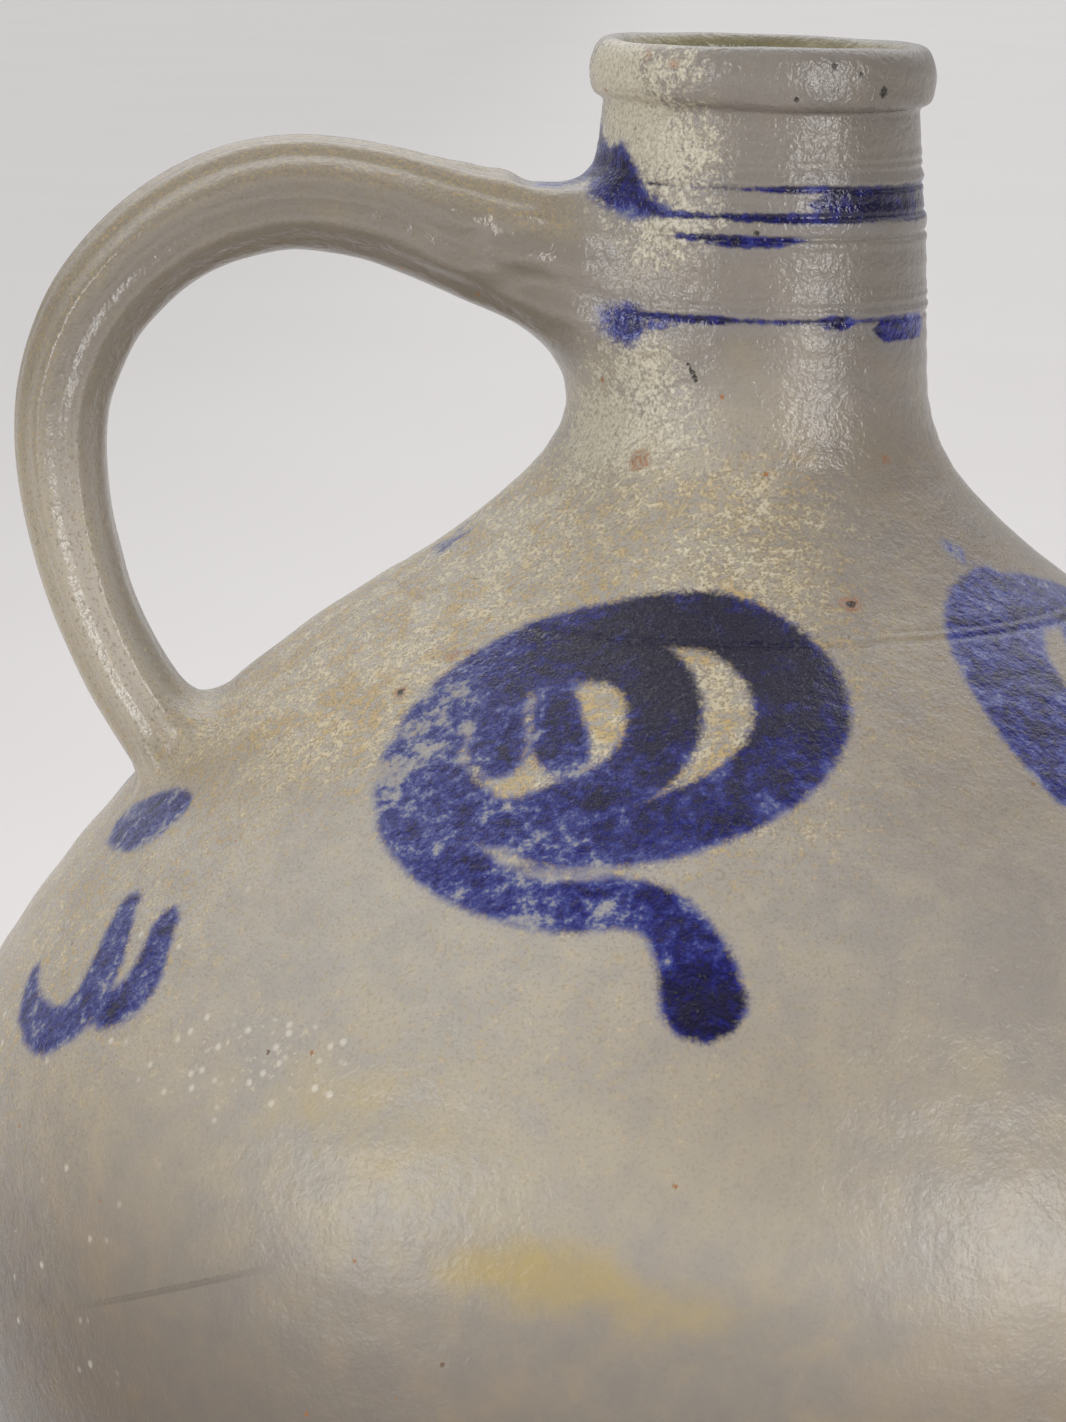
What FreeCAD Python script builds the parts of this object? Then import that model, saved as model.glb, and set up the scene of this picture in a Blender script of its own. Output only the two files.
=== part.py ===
import FreeCAD, Part

import Sketcher

import math
import os
import sys

# Salt-glazed stoneware storage jug, millimetres.
# A wheel-thrown ovoid body with a high narrow neck and a rolled rim, a pulled
# strap handle from neck to shoulder, and the worked-in clay that joins the
# handle's two ends to the body.
# Frame: +Z up, origin at the centre of the base's resting face, the handle
# lies in the XZ plane and points to -X.

V = FreeCAD.Vector

os.makedirs("parts", exist_ok=True)
doc = FreeCAD.newDocument("StonewareJug")

# ---------------------------------------------------------------- dimensions
sheet = doc.addObject("Spreadsheet::Sheet", "Sizes")
VALUE = {}
ROW = [1]


def cell(alias, value, note=""):
    row = ROW[0]
    ROW[0] += 1
    sheet.set("A%d" % row, note or alias.replace("_", " "))
    sheet.set("B%d" % row, repr(round(float(value), 4)))
    sheet.setAlias("B%d" % row, alias)
    VALUE[alias] = round(float(value), 4)


cell("height", 385.0, "overall height, base to lip")
cell("wall", 8.5, "thrown wall thickness, belly and shoulder")
cell("bore_radius", 25.5, "mouth bore radius, takes a cork")

# The outer profile, one point per row (radius, height).
OUTER = [
    # name          r         z         arc radius to the next point, side
    ("base_edge",   101.8,    0.0,      None),
    ("foot_edge",   104.7,    3.0,      None),
    ("foot_top",    109.1,    13.0,     (200.0, "hollow")),
    ("low_wall",    124.1270, 40.5941,  (205.0, "full")),
    ("belly",       157.2,    152.2451, (175.916, "full")),
    ("high_belly",  155.4958, 176.6723, (60.6901, "full")),
    ("shoulder",    147.1601, 199.9235, (234.6326, "full")),
    ("neck_root",   70.9816,  276.67,   (138.1173, "hollow")),
    ("neck_flare",  44.5431,  298.0492, (34.7797, "hollow")),
    ("neck_low",    34.8104,  321.1525, None),
    ("ring_c",      34.00,    333.2,    None),
    ("ring_c_in",   33.45,    333.8,    None),
    ("ring_c_out",  33.85,    335.4,    None),
    ("ring_b",      33.40,    348.6,    None),
    ("ring_b_in",   32.95,    349.2,    None),
    ("ring_b_out",  33.30,    349.9,    None),
    ("ring_a",      33.20,    353.0,    None),
    ("ring_a_in",   32.55,    353.5,    None),
    ("band_in",     32.30,    358.0,    None),
    ("band_out",    32.55,    358.7,    None),
    ("neck_mid",    32.20,    363.0,    None),
    ("neck_high",   31.40,    369.0,    None),
    ("crease",      31.25,    373.0,    None),
    ("rim_low",     32.60,    373.9,    (8.9, "full")),
    ("rim_high",    32.95,    383.42,   (3.6, "full")),
    ("lip_in",      26.75,    383.02,   None),
    ("bore_top",    25.5,     377.6,    None),
]

# The inner profile, from the bore's foot down to the middle of the floor.
INNER = [
    ("bore_foot",     25.5,     324.16,   (46.1, "in_hollow")),
    ("in_flare",      38.426,   292.147,  (146.617, "in_hollow")),
    ("in_root",       66.4947,  269.4475, (226.1326, "in_full")),
    ("in_shoulder",   139.9109, 195.4841, (52.1901, "in_full")),
    ("in_high_belly", 147.0782, 175.4886, (167.416, "in_full")),
    ("in_belly",      148.7,    152.2451, (196.5, "in_full")),
    ("in_low",        116.9988, 45.2235,  (72.95, "in_full")),
    ("floor_edge",    55.82,    12.0,     None),
]

for name, r, z, arc in OUTER + INNER:
    cell(name + "_r", r)
    cell(name + "_z", z)
    if arc:
        cell(name + "_arc", arc[0])

# The incised line round the shoulder.
cell("line_r", 70.35, "incised shoulder line, radius of the cut's centre")
cell("line_z", 277.55, "incised shoulder line, height")
cell("line_size", 0.85, "incised shoulder line, tool radius")

# The handle's sections: reach from the jug's axis, height, thickness in the
# handle's plane and width across it.
STRAP = [
    (20.0,  338.5, 37.0, 38.0),
    (32.0,  340.2, 35.4, 36.0),
    (44.0,  342.7, 29.5, 34.5),
    (58.0,  346.7, 25.0, 33.5),
    (74.0,  351.4, 22.6, 33.0),
    (92.0,  353.3, 21.8, 32.5),
    (109.5, 348.2, 21.0, 32.0),
    (124.0, 337.0, 20.0, 31.5),
    (133.3, 321.7, 18.9, 31.0),
    (136.3, 303.5, 17.9, 30.5),
    (134.0, 285.0, 17.1, 30.0),
    (128.7, 268.8, 16.4, 29.5),
    (121.6, 255.2, 17.2, 30.0),
    (115.0, 246.4, 19.5, 31.5),
    (108.0, 237.6, 21.0, 32.5),
]
for i, (s_, z_, t_, w_) in enumerate(STRAP):
    cell("strap%02d_reach" % i, s_)
    cell("strap%02d_height" % i, z_)
    cell("strap%02d_thick" % i, t_)
    cell("strap%02d_width" % i, w_)

# The worked-in clay at each end of the handle, as sections along the handle.
UPPER = [
    (15.0, 338.8, 56.0, 57.0),
    (27.0, 339.6, 51.0, 52.0),
    (36.0, 341.2, 41.0, 42.0),
    (46.0, 343.3, 30.0, 36.0),
]
LOWER = [
    (119.6, 252.3, 19.6, 32.0),
    (115.6, 247.1, 24.5, 38.0),
    (112.0, 242.6, 29.0, 44.0),
    (107.0, 236.4, 33.0, 49.0),
]
for tag, rows in (("upper", UPPER), ("lower", LOWER)):
    for i, (s_, z_, t_, w_) in enumerate(rows):
        cell("%s%02d_reach" % (tag, i), s_)
        cell("%s%02d_height" % (tag, i), z_)
        cell("%s%02d_thick" % (tag, i), t_)
        cell("%s%02d_width" % (tag, i), w_)

doc.recompute()


# ------------------------------------------------------------------- helpers
def origin_plane(body, role):
    for feature in body.Origin.OriginFeatures:
        if feature.Role == role:
            return feature
    raise RuntimeError("no plane " + role)


def new_sketch(body, name, role="XZ_Plane"):
    sketch = body.newObject("Sketcher::SketchObject", name)
    sketch.AttachmentSupport = [(origin_plane(body, role), "")]
    sketch.MapMode = "FlatFace"
    return sketch


def arc_between(p, q, radius, left):
    """Arc from p to q whose centre is on the left of p->q if left is true."""
    dx, dy = q[0] - p[0], q[1] - p[1]
    chord = math.hypot(dx, dy)
    rise = math.sqrt(max(radius * radius - chord * chord / 4.0, 0.0))
    sign = 1.0 if left else -1.0
    cx = (p[0] + q[0]) / 2.0 - sign * dy / chord * rise
    cy = (p[1] + q[1]) / 2.0 + sign * dx / chord * rise
    a0 = math.atan2(p[1] - cy, p[0] - cx)
    a1 = math.atan2(q[1] - cy, q[0] - cx)
    circle = Part.Circle(V(cx, cy, 0), V(0, 0, 1), radius)
    if left:                       # counter-clockwise from p to q
        return Part.ArcOfCircle(circle, a0, a1 if a1 > a0 else a1 + 2 * math.pi), 1, 2
    return Part.ArcOfCircle(circle, a1, a0 if a0 > a1 else a0 + 2 * math.pi), 2, 1


# points that follow a driving dimension instead of a cell of their own
DRIVEN = {
    "bore_top_r": "Sizes.bore_radius",
    "bore_foot_r": "Sizes.bore_radius",
    "in_belly_r": "Sizes.belly_r - Sizes.wall",
    "rim_high_z": "Sizes.height - 1.58",
    "lip_in_z": "Sizes.height - 1.98",
}


def chain_sketch(sketch, points):
    """Closed profile. points: (alias or None for a point on the axis, r, z, arc)."""
    count = len(points)
    ends = []
    for i, (name, r, z, arc) in enumerate(points):
        nxt = points[(i + 1) % count]
        p, q = (r, z), (nxt[1], nxt[2])
        if arc:
            # going up the outside the solid's full arcs turn left; going down
            # the inside, a full arc turns right
            left = arc[1] in ("full", "in_hollow")
            geo, start, end = arc_between(p, q, arc[0], left)
        else:
            geo, start, end = Part.LineSegment(V(p[0], p[1], 0), V(q[0], q[1], 0)), 1, 2
        ends.append((sketch.addGeometry(geo, False), start, end))
    constraints = []
    names = []
    for i in range(count):
        a, b = ends[i], ends[(i + 1) % count]
        constraints.append(Sketcher.Constraint("Coincident", a[0], a[2], b[0], b[1]))
        names.append(None)
    for i, (name, r, z, arc) in enumerate(points):
        geo, start, _end = ends[i]
        if r == 0.0:
            constraints.append(Sketcher.Constraint("PointOnObject", geo, start, -2))
            names.append(None)
        else:
            constraints.append(Sketcher.Constraint("DistanceX", -1, 1, geo, start, r))
            names.append((name + "_r", DRIVEN.get(name + "_r", "Sizes.%s_r" % name)))
        if z == 0.0 and r == 0.0:
            constraints[-1] = Sketcher.Constraint("Coincident", geo, start, -1, 1)
        elif z == 0.0:
            constraints.append(Sketcher.Constraint("PointOnObject", geo, start, -1))
            names.append(None)
        else:
            constraints.append(Sketcher.Constraint("DistanceY", -1, 1, geo, start, z))
            names.append((name + "_z", DRIVEN.get(name + "_z", "Sizes.%s_z" % name)))
        if arc:
            constraints.append(Sketcher.Constraint("Radius", geo, arc[0]))
            names.append((name + "_arc", "Sizes.%s_arc" % name))
    for i, constraint in enumerate(constraints):
        index = sketch.addConstraint(constraint)
        if names[i]:
            sketch.renameConstraint(index, names[i][0])
            sketch.setExpression("Constraints." + names[i][0], names[i][1])



def revolve(body, sketch, name):
    feature = body.newObject("PartDesign::Revolution", name)
    feature.Profile = sketch
    feature.ReferenceAxis = (sketch, ["V_Axis"])
    feature.Angle = 360.0
    return feature


def ellipse_section(name, tag, i, tangent):
    """One elliptical section of the handle, bound to its four cells."""
    key = "%s%02d_" % (tag, i)
    thick, width = VALUE[key + "thick"], VALUE[key + "width"]
    section = doc.addObject("Part::Ellipse", name)
    section.MajorRadius = max(thick, width) / 2.0
    section.MinorRadius = min(thick, width) / 2.0
    across = V(0, 1, 0)
    inward = tangent.cross(across)
    inward.normalize()
    section.Placement = FreeCAD.Placement(
        V(-VALUE[key + "reach"], 0, VALUE[key + "height"]),
        FreeCAD.Rotation(across, inward, tangent, "ZXY"))
    section.setExpression("MajorRadius", "Sizes.%swidth / 2" % key)
    section.setExpression("MinorRadius", "Sizes.%sthick / 2" % key)
    section.setExpression("Placement.Base.x", "-Sizes.%sreach" % key)
    section.setExpression("Placement.Base.z", "Sizes.%sheight" % key)
    return section


def tangents(rows):
    out = []
    for i in range(len(rows)):
        a = rows[max(i - 1, 0)]
        b = rows[min(i + 1, len(rows) - 1)]
        d = V(-(b[0] - a[0]), 0, b[1] - a[1])
        d.normalize()
        out.append(d)
    return out


def loft(tag, rows, dirs):
    sections = [ellipse_section("%s_section_%02d" % (tag, i), tag, i, dirs[i])
                for i in range(len(rows))]
    feature = doc.addObject("Part::Loft", tag + "_form")
    feature.Sections = sections
    feature.Solid = True
    feature.Ruled = False
    feature.MaxDegree = 5
    return feature


# --------------------------------------------------------------- thrown body
thrown = doc.addObject("PartDesign::Body", "thrown_body")
thrown.Label = "thrown_body"
profile = new_sketch(thrown, "jug_wall_profile")
wall_points = ([("axis_low", 0.0, 0.0, None)] + OUTER + INNER +
               [("floor_mid", 0.0, 12.0, None)])
cell("floor_mid_z", 12.0, "floor thickness in the middle")
cell("floor_mid_r", 0.0, "the axis")
doc.recompute()
chain_sketch(profile, wall_points)
doc.recompute()
wall = revolve(thrown, profile, "thrown_wall")
doc.recompute()

# the incised line round the shoulder
line = new_sketch(thrown, "incised_line_profile")
line.addGeometry(Part.Circle(V(VALUE["line_r"], VALUE["line_z"], 0), V(0, 0, 1),
                             VALUE["line_size"]), False)
for kind, args, alias in (("DistanceX", (-1, 1, 0, 3, VALUE["line_r"]), "line_r"),
                          ("DistanceY", (-1, 1, 0, 3, VALUE["line_z"]), "line_z"),
                          ("Radius", (0, VALUE["line_size"]), "line_size")):
    index = line.addConstraint(Sketcher.Constraint(kind, *args))
    line.renameConstraint(index, alias)
    line.setExpression("Constraints." + alias, "Sizes." + alias)
before = wall.Shape.Volume
incised = thrown.newObject("PartDesign::Groove", "incised_line")
incised.Profile = line
incised.ReferenceAxis = (line, ["V_Axis"])
incised.Angle = 360.0
thrown.Tip = incised
doc.recompute()
print("incised line removes %.1f mm3" % (before - incised.Shape.Volume))

# ------------------------------------- the jug's outer form, used as a cutter
form = doc.addObject("PartDesign::Body", "jug_outer_form")
form.Label = "jug_outer_form"
outline = new_sketch(form, "jug_outline")
outline_points = ([("axis_low", 0.0, 0.0, None)] + OUTER[:24] +
                  [("axis_rim", 0.0, 373.9, None)])
cell("axis_rim_z", 373.9, "top of the cutter that trims the handle")
doc.recompute()
outline_points[-2] = (outline_points[-2][0], outline_points[-2][1],
                      outline_points[-2][2], None)
chain_sketch(outline, outline_points)
doc.recompute()
revolve(form, outline, "jug_outer_solid")
doc.recompute()

# --------------------------------------------------------------- the handle
strap_dirs = tangents(STRAP)
strap_form = loft("strap", STRAP, strap_dirs)
handle = doc.addObject("Part::Cut", "strap_handle")
handle.Label = "strap_handle"
handle.Base = strap_form
handle.Tool = form
doc.recompute()

# ------------------------------------------------------- worked-in clay joints
for label, tag, rows in (("upper_luting_clay", "upper", UPPER),
                         ("lower_luting_clay", "lower", LOWER)):
    clay_form = loft(tag, rows, tangents(rows))
    less_jug = doc.addObject("Part::Cut", tag + "_less_jug")
    less_jug.Base = clay_form
    less_jug.Tool = form
    clay = doc.addObject("Part::Cut", label)
    clay.Label = label
    clay.Base = less_jug
    clay.Tool = strap_form
    doc.recompute()

doc.recompute()

# --------------------------------------------------------------------- checks
bad = [o.Name for o in doc.Objects
       if "Invalid" in o.State or "Error" in o.State]
if bad:
    sys.exit("failed objects: " + ", ".join(bad))

NODES = ["thrown_body", "strap_handle", "upper_luting_clay", "lower_luting_clay"]
for node in NODES:
    obj = [o for o in doc.Objects if o.Label == node][0]
    shape = obj.Shape
    if shape.isNull() or not shape.isValid():
        sys.exit("bad shape: " + node)
    box = shape.optimalBoundingBox(True, False)
    print("%-18s solids %d  volume %.1f cm3  box %s" % (
        node, len(shape.Solids), shape.Volume / 1000.0,
        [round(x, 2) for x in (box.XMin, box.XMax, box.YMin, box.YMax,
                               box.ZMin, box.ZMax)]))

for node in NODES:
    obj = [o for o in doc.Objects if o.Label == node][0]
    obj.Shape.exportStep("parts/%s.step" % node)
print("written", len(NODES), "parts")
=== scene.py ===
import math

import bmesh
import bpy
import numpy as np
from mathutils import Matrix, Vector


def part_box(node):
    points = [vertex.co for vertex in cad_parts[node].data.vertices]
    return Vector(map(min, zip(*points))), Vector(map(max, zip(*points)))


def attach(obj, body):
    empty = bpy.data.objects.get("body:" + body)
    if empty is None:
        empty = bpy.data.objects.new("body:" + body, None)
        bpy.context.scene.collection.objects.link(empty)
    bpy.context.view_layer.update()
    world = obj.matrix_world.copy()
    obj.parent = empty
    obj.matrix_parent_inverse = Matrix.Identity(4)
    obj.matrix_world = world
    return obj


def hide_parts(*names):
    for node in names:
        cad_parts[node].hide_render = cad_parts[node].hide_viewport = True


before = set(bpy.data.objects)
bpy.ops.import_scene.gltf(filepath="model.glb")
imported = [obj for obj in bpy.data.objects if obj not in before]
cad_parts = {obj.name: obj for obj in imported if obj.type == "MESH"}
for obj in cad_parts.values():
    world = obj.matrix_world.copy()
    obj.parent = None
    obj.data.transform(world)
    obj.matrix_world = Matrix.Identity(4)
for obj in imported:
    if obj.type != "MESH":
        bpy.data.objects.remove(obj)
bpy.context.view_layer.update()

MM = 0.001
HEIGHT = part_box("thrown_body")[1].z / MM          # rim top, 385 mm


def srgb(r, g, b):
    """An 8-bit display colour as a linear one."""
    out = []
    for v in (r, g, b):
        v /= 255.0
        out.append(v / 12.92 if v <= 0.04045 else ((v + 0.055) / 1.055) ** 2.4)
    return (out[0], out[1], out[2], 1.0)


def sstep(a, b, x):
    t = np.clip((x - a) / (b - a), 0.0, 1.0)
    return t * t * (3.0 - 2.0 * t)


WORLD_BASE, WORLD_BACK, WORLD_LEFT, WORLD_WALL = 0.14, 2.12, 0.12, 0.36

# =============================================================== camera
CAM_D, CAM_H = 0.85068, HEIGHT * MM + 0.03818
CAM_PITCH, CAM_ROLL, CAM_YAW = 0.20106, 0.0274, -0.0489
TURN = math.radians(-6.0)                         # the handle comes 6 degrees towards the camera


def turned(v):
    c, s = math.cos(TURN), math.sin(TURN)
    return Vector((v[0] * c - v[1] * s, v[0] * s + v[1] * c, v[2]))


fwd = Vector((math.sin(CAM_YAW) * math.cos(CAM_PITCH), math.cos(CAM_YAW) * math.cos(CAM_PITCH), -math.sin(CAM_PITCH)))
right = Vector((math.cos(CAM_YAW), -math.sin(CAM_YAW), 0.0))
up = right.cross(fwd)
r2 = right * math.cos(CAM_ROLL) + up * math.sin(CAM_ROLL)
u2 = -right * math.sin(CAM_ROLL) + up * math.cos(CAM_ROLL)
fwd, r2, u2 = turned(fwd), turned(r2), turned(u2)
cam_data = bpy.data.cameras.new("camera")
cam_data.sensor_fit = "VERTICAL"
cam_data.sensor_height = 36.0
cam_data.sensor_width = 27.0
cam_data.lens = 4300.0 * 36.0 / 1422.0
cam_data.clip_start = 0.05
cam_data.clip_end = 200.0
cam = bpy.data.objects.new("camera", cam_data)
bpy.context.scene.collection.objects.link(cam)
m = Matrix((r2, u2, -fwd)).transposed().to_4x4()
m.translation = turned(Vector((0.0, -CAM_D, CAM_H)))
cam.matrix_world = m
bpy.context.scene.camera = cam

# =============================================================== the jug's profile
# Arcs and points in millimetres: radius, height.


def arc(p, q, rad, left, n=90):
    p, q = np.array(p, float), np.array(q, float)
    d = q - p
    c = math.hypot(*d)
    h = math.sqrt(max(rad * rad - c * c / 4.0, 0.0))
    s = 1.0 if left else -1.0
    cen = (p + q) / 2.0 + s * np.array([-d[1], d[0]]) / c * h
    a0 = math.atan2(p[1] - cen[1], p[0] - cen[0])
    a1 = math.atan2(q[1] - cen[1], q[0] - cen[0])
    if left and a1 < a0:
        a1 += 2 * math.pi
    if not left and a1 > a0:
        a1 -= 2 * math.pi
    t = np.linspace(a0, a1, n)
    return np.stack([cen[0] + rad * np.cos(t), cen[1] + rad * np.sin(t)], -1)


def spline(points, n=16):
    """Centripetal Catmull-Rom through the points."""
    p = np.array(points, float)
    p = np.vstack([2 * p[0] - p[1], p, 2 * p[-1] - p[-2]])
    out = []
    for i in range(1, len(p) - 2):
        p0, p1, p2, p3 = p[i - 1], p[i], p[i + 1], p[i + 2]
        t0 = 0.0
        t1 = t0 + math.sqrt(np.linalg.norm(p1 - p0))
        t2 = t1 + math.sqrt(np.linalg.norm(p2 - p1))
        t3 = t2 + math.sqrt(np.linalg.norm(p3 - p2))
        t = np.linspace(t1, t2, n, endpoint=False)[:, None]
        a1 = (t1 - t) / (t1 - t0) * p0 + (t - t0) / (t1 - t0) * p1
        a2 = (t2 - t) / (t2 - t1) * p1 + (t - t1) / (t2 - t1) * p2
        a3 = (t3 - t) / (t3 - t2) * p2 + (t - t2) / (t3 - t2) * p3
        b1 = (t2 - t) / (t2 - t0) * a1 + (t - t0) / (t2 - t0) * a2
        b2 = (t3 - t) / (t3 - t1) * a2 + (t - t1) / (t3 - t1) * a3
        out.append((t2 - t) / (t2 - t1) * b1 + (t - t1) / (t2 - t1) * b2)
    out.append(p[-2][None, :])
    return np.vstack(out)


FOOT = spline([(101.2, 0.0), (102.9, 0.5), (104.3, 2.0), (105.2, 4.2), (107.0, 8.3), (109.1, 13.0)])
WALL = [
    FOOT[:-1],
    arc((109.1, 13.0), (124.127, 40.5941), 200.0, False)[:-1],
    arc((124.127, 40.5941), (157.2, 152.2451), 205.0, True)[:-1],
    arc((157.2, 152.2451), (155.4958, 176.6723), 175.916, True)[:-1],
    arc((155.4958, 176.6723), (147.1601, 199.9235), 60.6901, True)[:-1],
    arc((147.1601, 199.9235), (70.9816, 276.67), 234.6326, True, 160)[:-1],
    arc((70.9816, 276.67), (44.5431, 298.0492), 138.1173, False)[:-1],
    arc((44.5431, 298.0492), (34.8104, 321.1525), 34.7797, False)[:-1],
]
NECK = spline([(34.8104, 321.1525), (34.35, 330.0), (33.95, 338.0), (33.6, 345.5), (33.2, 351.5),
               (32.75, 356.0), (32.3, 360.0), (31.95, 364.0), (31.55, 368.0), (31.3, 371.0), (31.15, 372.4)], 20)
RIM = spline([(31.15, 372.4), (31.28, 373.0), (31.9, 373.35), (32.85, 373.9), (33.6, 375.1), (33.97, 377.2),
              (33.95, 379.6), (33.55, 381.8), (32.8, 383.5), (31.7, 384.6), (30.3, 385.0), (28.9, 384.75),
              (27.7, 383.9), (26.75, 382.4), (26.1, 380.2), (25.7, 377.6)], 14)
OUTER = np.vstack(WALL + [NECK[:-1], RIM])
THROAT = np.vstack([
    spline([(25.7, 377.6), (25.55, 374.0), (25.5, 366.0), (25.5, 350.0), (25.5, 324.16)], 20)[:-1],
    arc((25.5, 324.16), (38.426, 292.147), 46.1, True)[:-1],
    arc((38.426, 292.147), (66.4947, 269.4475), 146.617, True)[:-1],
    arc((66.4947, 269.4475), (139.9109, 195.4841), 226.1326, False)[:-1],
    arc((139.9109, 195.4841), (147.0782, 175.4886), 52.1901, False)[:-1],
    arc((147.0782, 175.4886), (148.7, 152.2451), 167.416, False)[:-1],
    arc((148.7, 152.2451), (116.9988, 45.2235), 196.5, False)[:-1],
    arc((116.9988, 45.2235), (55.82, 12.0), 72.95, False),
])

# radius against height of the outer wall below the rim, for distances
_w = np.vstack(WALL + [NECK])
WZ, WR = _w[:, 1], _w[:, 0]
ZG = np.linspace(0.0, 372.4, 7449)
RG = np.interp(ZG, WZ, WR)
RG = np.convolve(np.pad(RG, 6, mode="edge"), np.ones(13) / 13.0, mode="valid")
DRG = np.gradient(RG, ZG)
LG = np.concatenate([[0.0], np.cumsum(np.hypot(np.diff(RG), np.diff(ZG)))])   # length along the wall


def wall_r(z):
    return np.interp(z, ZG, RG)


def wall_slope(z):
    return np.interp(z, ZG, DRG)


def wall_len(z):
    return np.interp(z, ZG, LG)


# =============================================================== small unevenness of the thrown wall
def wnoise(a, b, seed, n=7, f0=1.0, wrap=0.0):
    """Smooth, cheap sum of waves over two coordinates; with wrap, a is an angle and the waves close on themselves."""
    g = np.random.default_rng(seed)
    out = np.zeros(np.broadcast(a, b).shape)
    for _ in range(n):
        fa, fb = g.normal(0, 1, 2) * f0
        if wrap:
            fa = float(np.round(fa * wrap))
        out = out + np.sin(a * fa + b * fb + g.uniform(0, 6.28)) / math.sqrt(n)
    return out


def groove(z, z0, depth, half):
    u = (z - z0) / half
    return -depth * np.exp(-u * u)


def joint_fade(phi, z):
    """0 near the handle's upper joint, where the rings were smeared over, 1 elsewhere."""
    a = np.abs((np.degrees(phi) + 90.0 + 180.0) % 360.0 - 180.0)
    return sstep(26.0, 52.0, a) + (1.0 - sstep(26.0, 52.0, a)) * (sstep(366.0, 371.0, z) + 1.0 - sstep(296.0, 306.0, z))


def relief(phi, z):
    """Outward displacement of the outer wall in mm at an angle (0 towards -Y, + towards +X) and a height."""
    d = 0.30 * np.sin(2 * phi + 0.8) * np.clip(z / 120.0, 0.2, 1.0)
    d = d + 0.14 * np.sin(3 * phi + 2.1)
    # throwing marks: a slow spiral up the belly, finer on the neck
    turn = phi / (2 * math.pi)
    d = d + 0.11 * np.sin(2 * math.pi * (z / 11.5 - turn) + 0.8 * np.sin(phi * 1.0 + z / 37.0)) * sstep(8, 40, z) * (1 - sstep(262, 292, z))
    d = d + 0.07 * np.sin(2 * math.pi * (z / 5.1 - turn) + 1.3 * np.sin(phi + z / 19.0)) * sstep(284, 306, z) * (1 - sstep(364, 371, z))
    d = d + 0.035 * np.sin(2 * math.pi * (z / 2.3 - turn) + 1.1 * np.sin(2 * phi + z / 8.0)) * sstep(322, 334, z) * (1 - sstep(364, 371, z))
    d = d + 0.22 * wnoise(phi, z / 42.0, 3, wrap=1.6) * sstep(5, 60, z)
    d = d + 0.07 * wnoise(phi, z / 15.0, 5, wrap=4.0)
    f = joint_fade(phi, z)
    wob = 0.22 * np.sin(phi + 0.4) + 0.12 * np.sin(2 * phi + 1.7)
    ring = np.zeros_like(d)
    # two fine lines above the band
    ring = ring + groove(z, 363.2 + wob * 0.6, 0.26, 0.42) + groove(z, 361.6 + wob * 0.6, 0.22, 0.40)
    # the band between two cut lines, its middle a little hollow, and a step out under it
    ring = ring + groove(z, 358.35 + wob, 0.42, 0.50) + groove(z, 353.1 + wob, 0.50, 0.55)
    ring = ring - 0.16 * np.exp(-((z - 355.7 - wob) / 2.1) ** 4)
    ring = ring + 0.36 * np.exp(-((z - 351.3 - wob) / 1.15) ** 2) + 0.24 * np.exp(-((z - 359.8 - wob) / 0.75) ** 2)
    ring = ring + groove(z, 349.05 + wob * 0.8, 0.38 + 0.12 * np.sin(phi + 1.0), 0.42) + 0.12 * np.exp(-((z - 347.9) / 0.8) ** 2)
    # the lower ring: two small ridges, a cut line
    ring = ring + 0.28 * np.exp(-((z - 337.0 - wob) / 0.50) ** 2) + 0.34 * np.exp(-((z - 334.9 - wob) / 0.55) ** 2)
    ring = ring + groove(z, 333.3 + wob * 0.9, 0.30, 0.42) + groove(z, 329.9 + wob, 0.10, 0.5)
    d = d + ring * f
    # the cut line round the shoulder, and a lighter second stroke of the same tool on one side
    zl = 277.5 + 0.35 * np.sin(phi * 1.0 + 0.5) + 0.12 * np.sin(5 * phi)
    d = d - 0.42 * np.exp(-((z - zl) / 0.42) ** 2) * (0.75 + 0.25 * np.sin(3 * phi + 1.0))
    far = np.clip(np.cos(phi - 0.75), 0, 1) ** 2
    d = d - 0.20 * far * np.exp(-((z - zl - 1.1 - 0.5 * np.sin(phi)) / 0.35) ** 2)
    # faint tooling lines low on the belly
    d = d - 0.10 * np.exp(-((z - 171.0 - 7.0 * np.sin(phi + 1.4)) / 0.9) ** 2)
    d = d - 0.12 * np.exp(-((z - 22.0 - 0.8 * np.sin(phi)) / 0.8) ** 2)
    return d


# =============================================================== brushed cobalt, as strokes on the wall
# Each stroke: (angle in degrees, height in mm, half width in mm) along its middle. The scroll is a
# plain brushed spiral with a two-leaf bud, the usual filling of such jugs.
SCROLL_OUT = [(-7.9, 225.5, 7.6), (-8.9, 231.4, 6.6), (-10.6, 236.0, 5.5), (-12.9, 238.7, 5.2), (-15.8, 239.3, 5.3),
              (-19.1, 238.3, 5.5), (-22.6, 238.0, 5.3), (-26.4, 238.9, 5.3), (-31.2, 241.2, 6.2), (-36.0, 245.7, 7.5),
              (-40.1, 251.2, 8.4), (-42.6, 257.6, 8.6), (-43.2, 264.3, 8.4), (-41.4, 270.1, 8.0), (-37.4, 274.5, 7.8),
              (-31.6, 277.2, 7.5), (-24.9, 279.2, 7.4), (-17.6, 280.6, 7.6), (-10.4, 280.8, 7.6), (-3.9, 278.4, 8.2),
              (0.5, 274.2, 8.7), (1.9, 268.9, 8.8), (0.4, 263.3, 8.4), (-2.7, 258.7, 7.9), (-6.6, 255.0, 7.5),
              (-11.0, 251.9, 7.3), (-15.2, 249.6, 6.8), (-19.4, 247.9, 5.8), (-23.2, 246.8, 4.6), (-26.4, 246.6, 2.6)]
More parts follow.
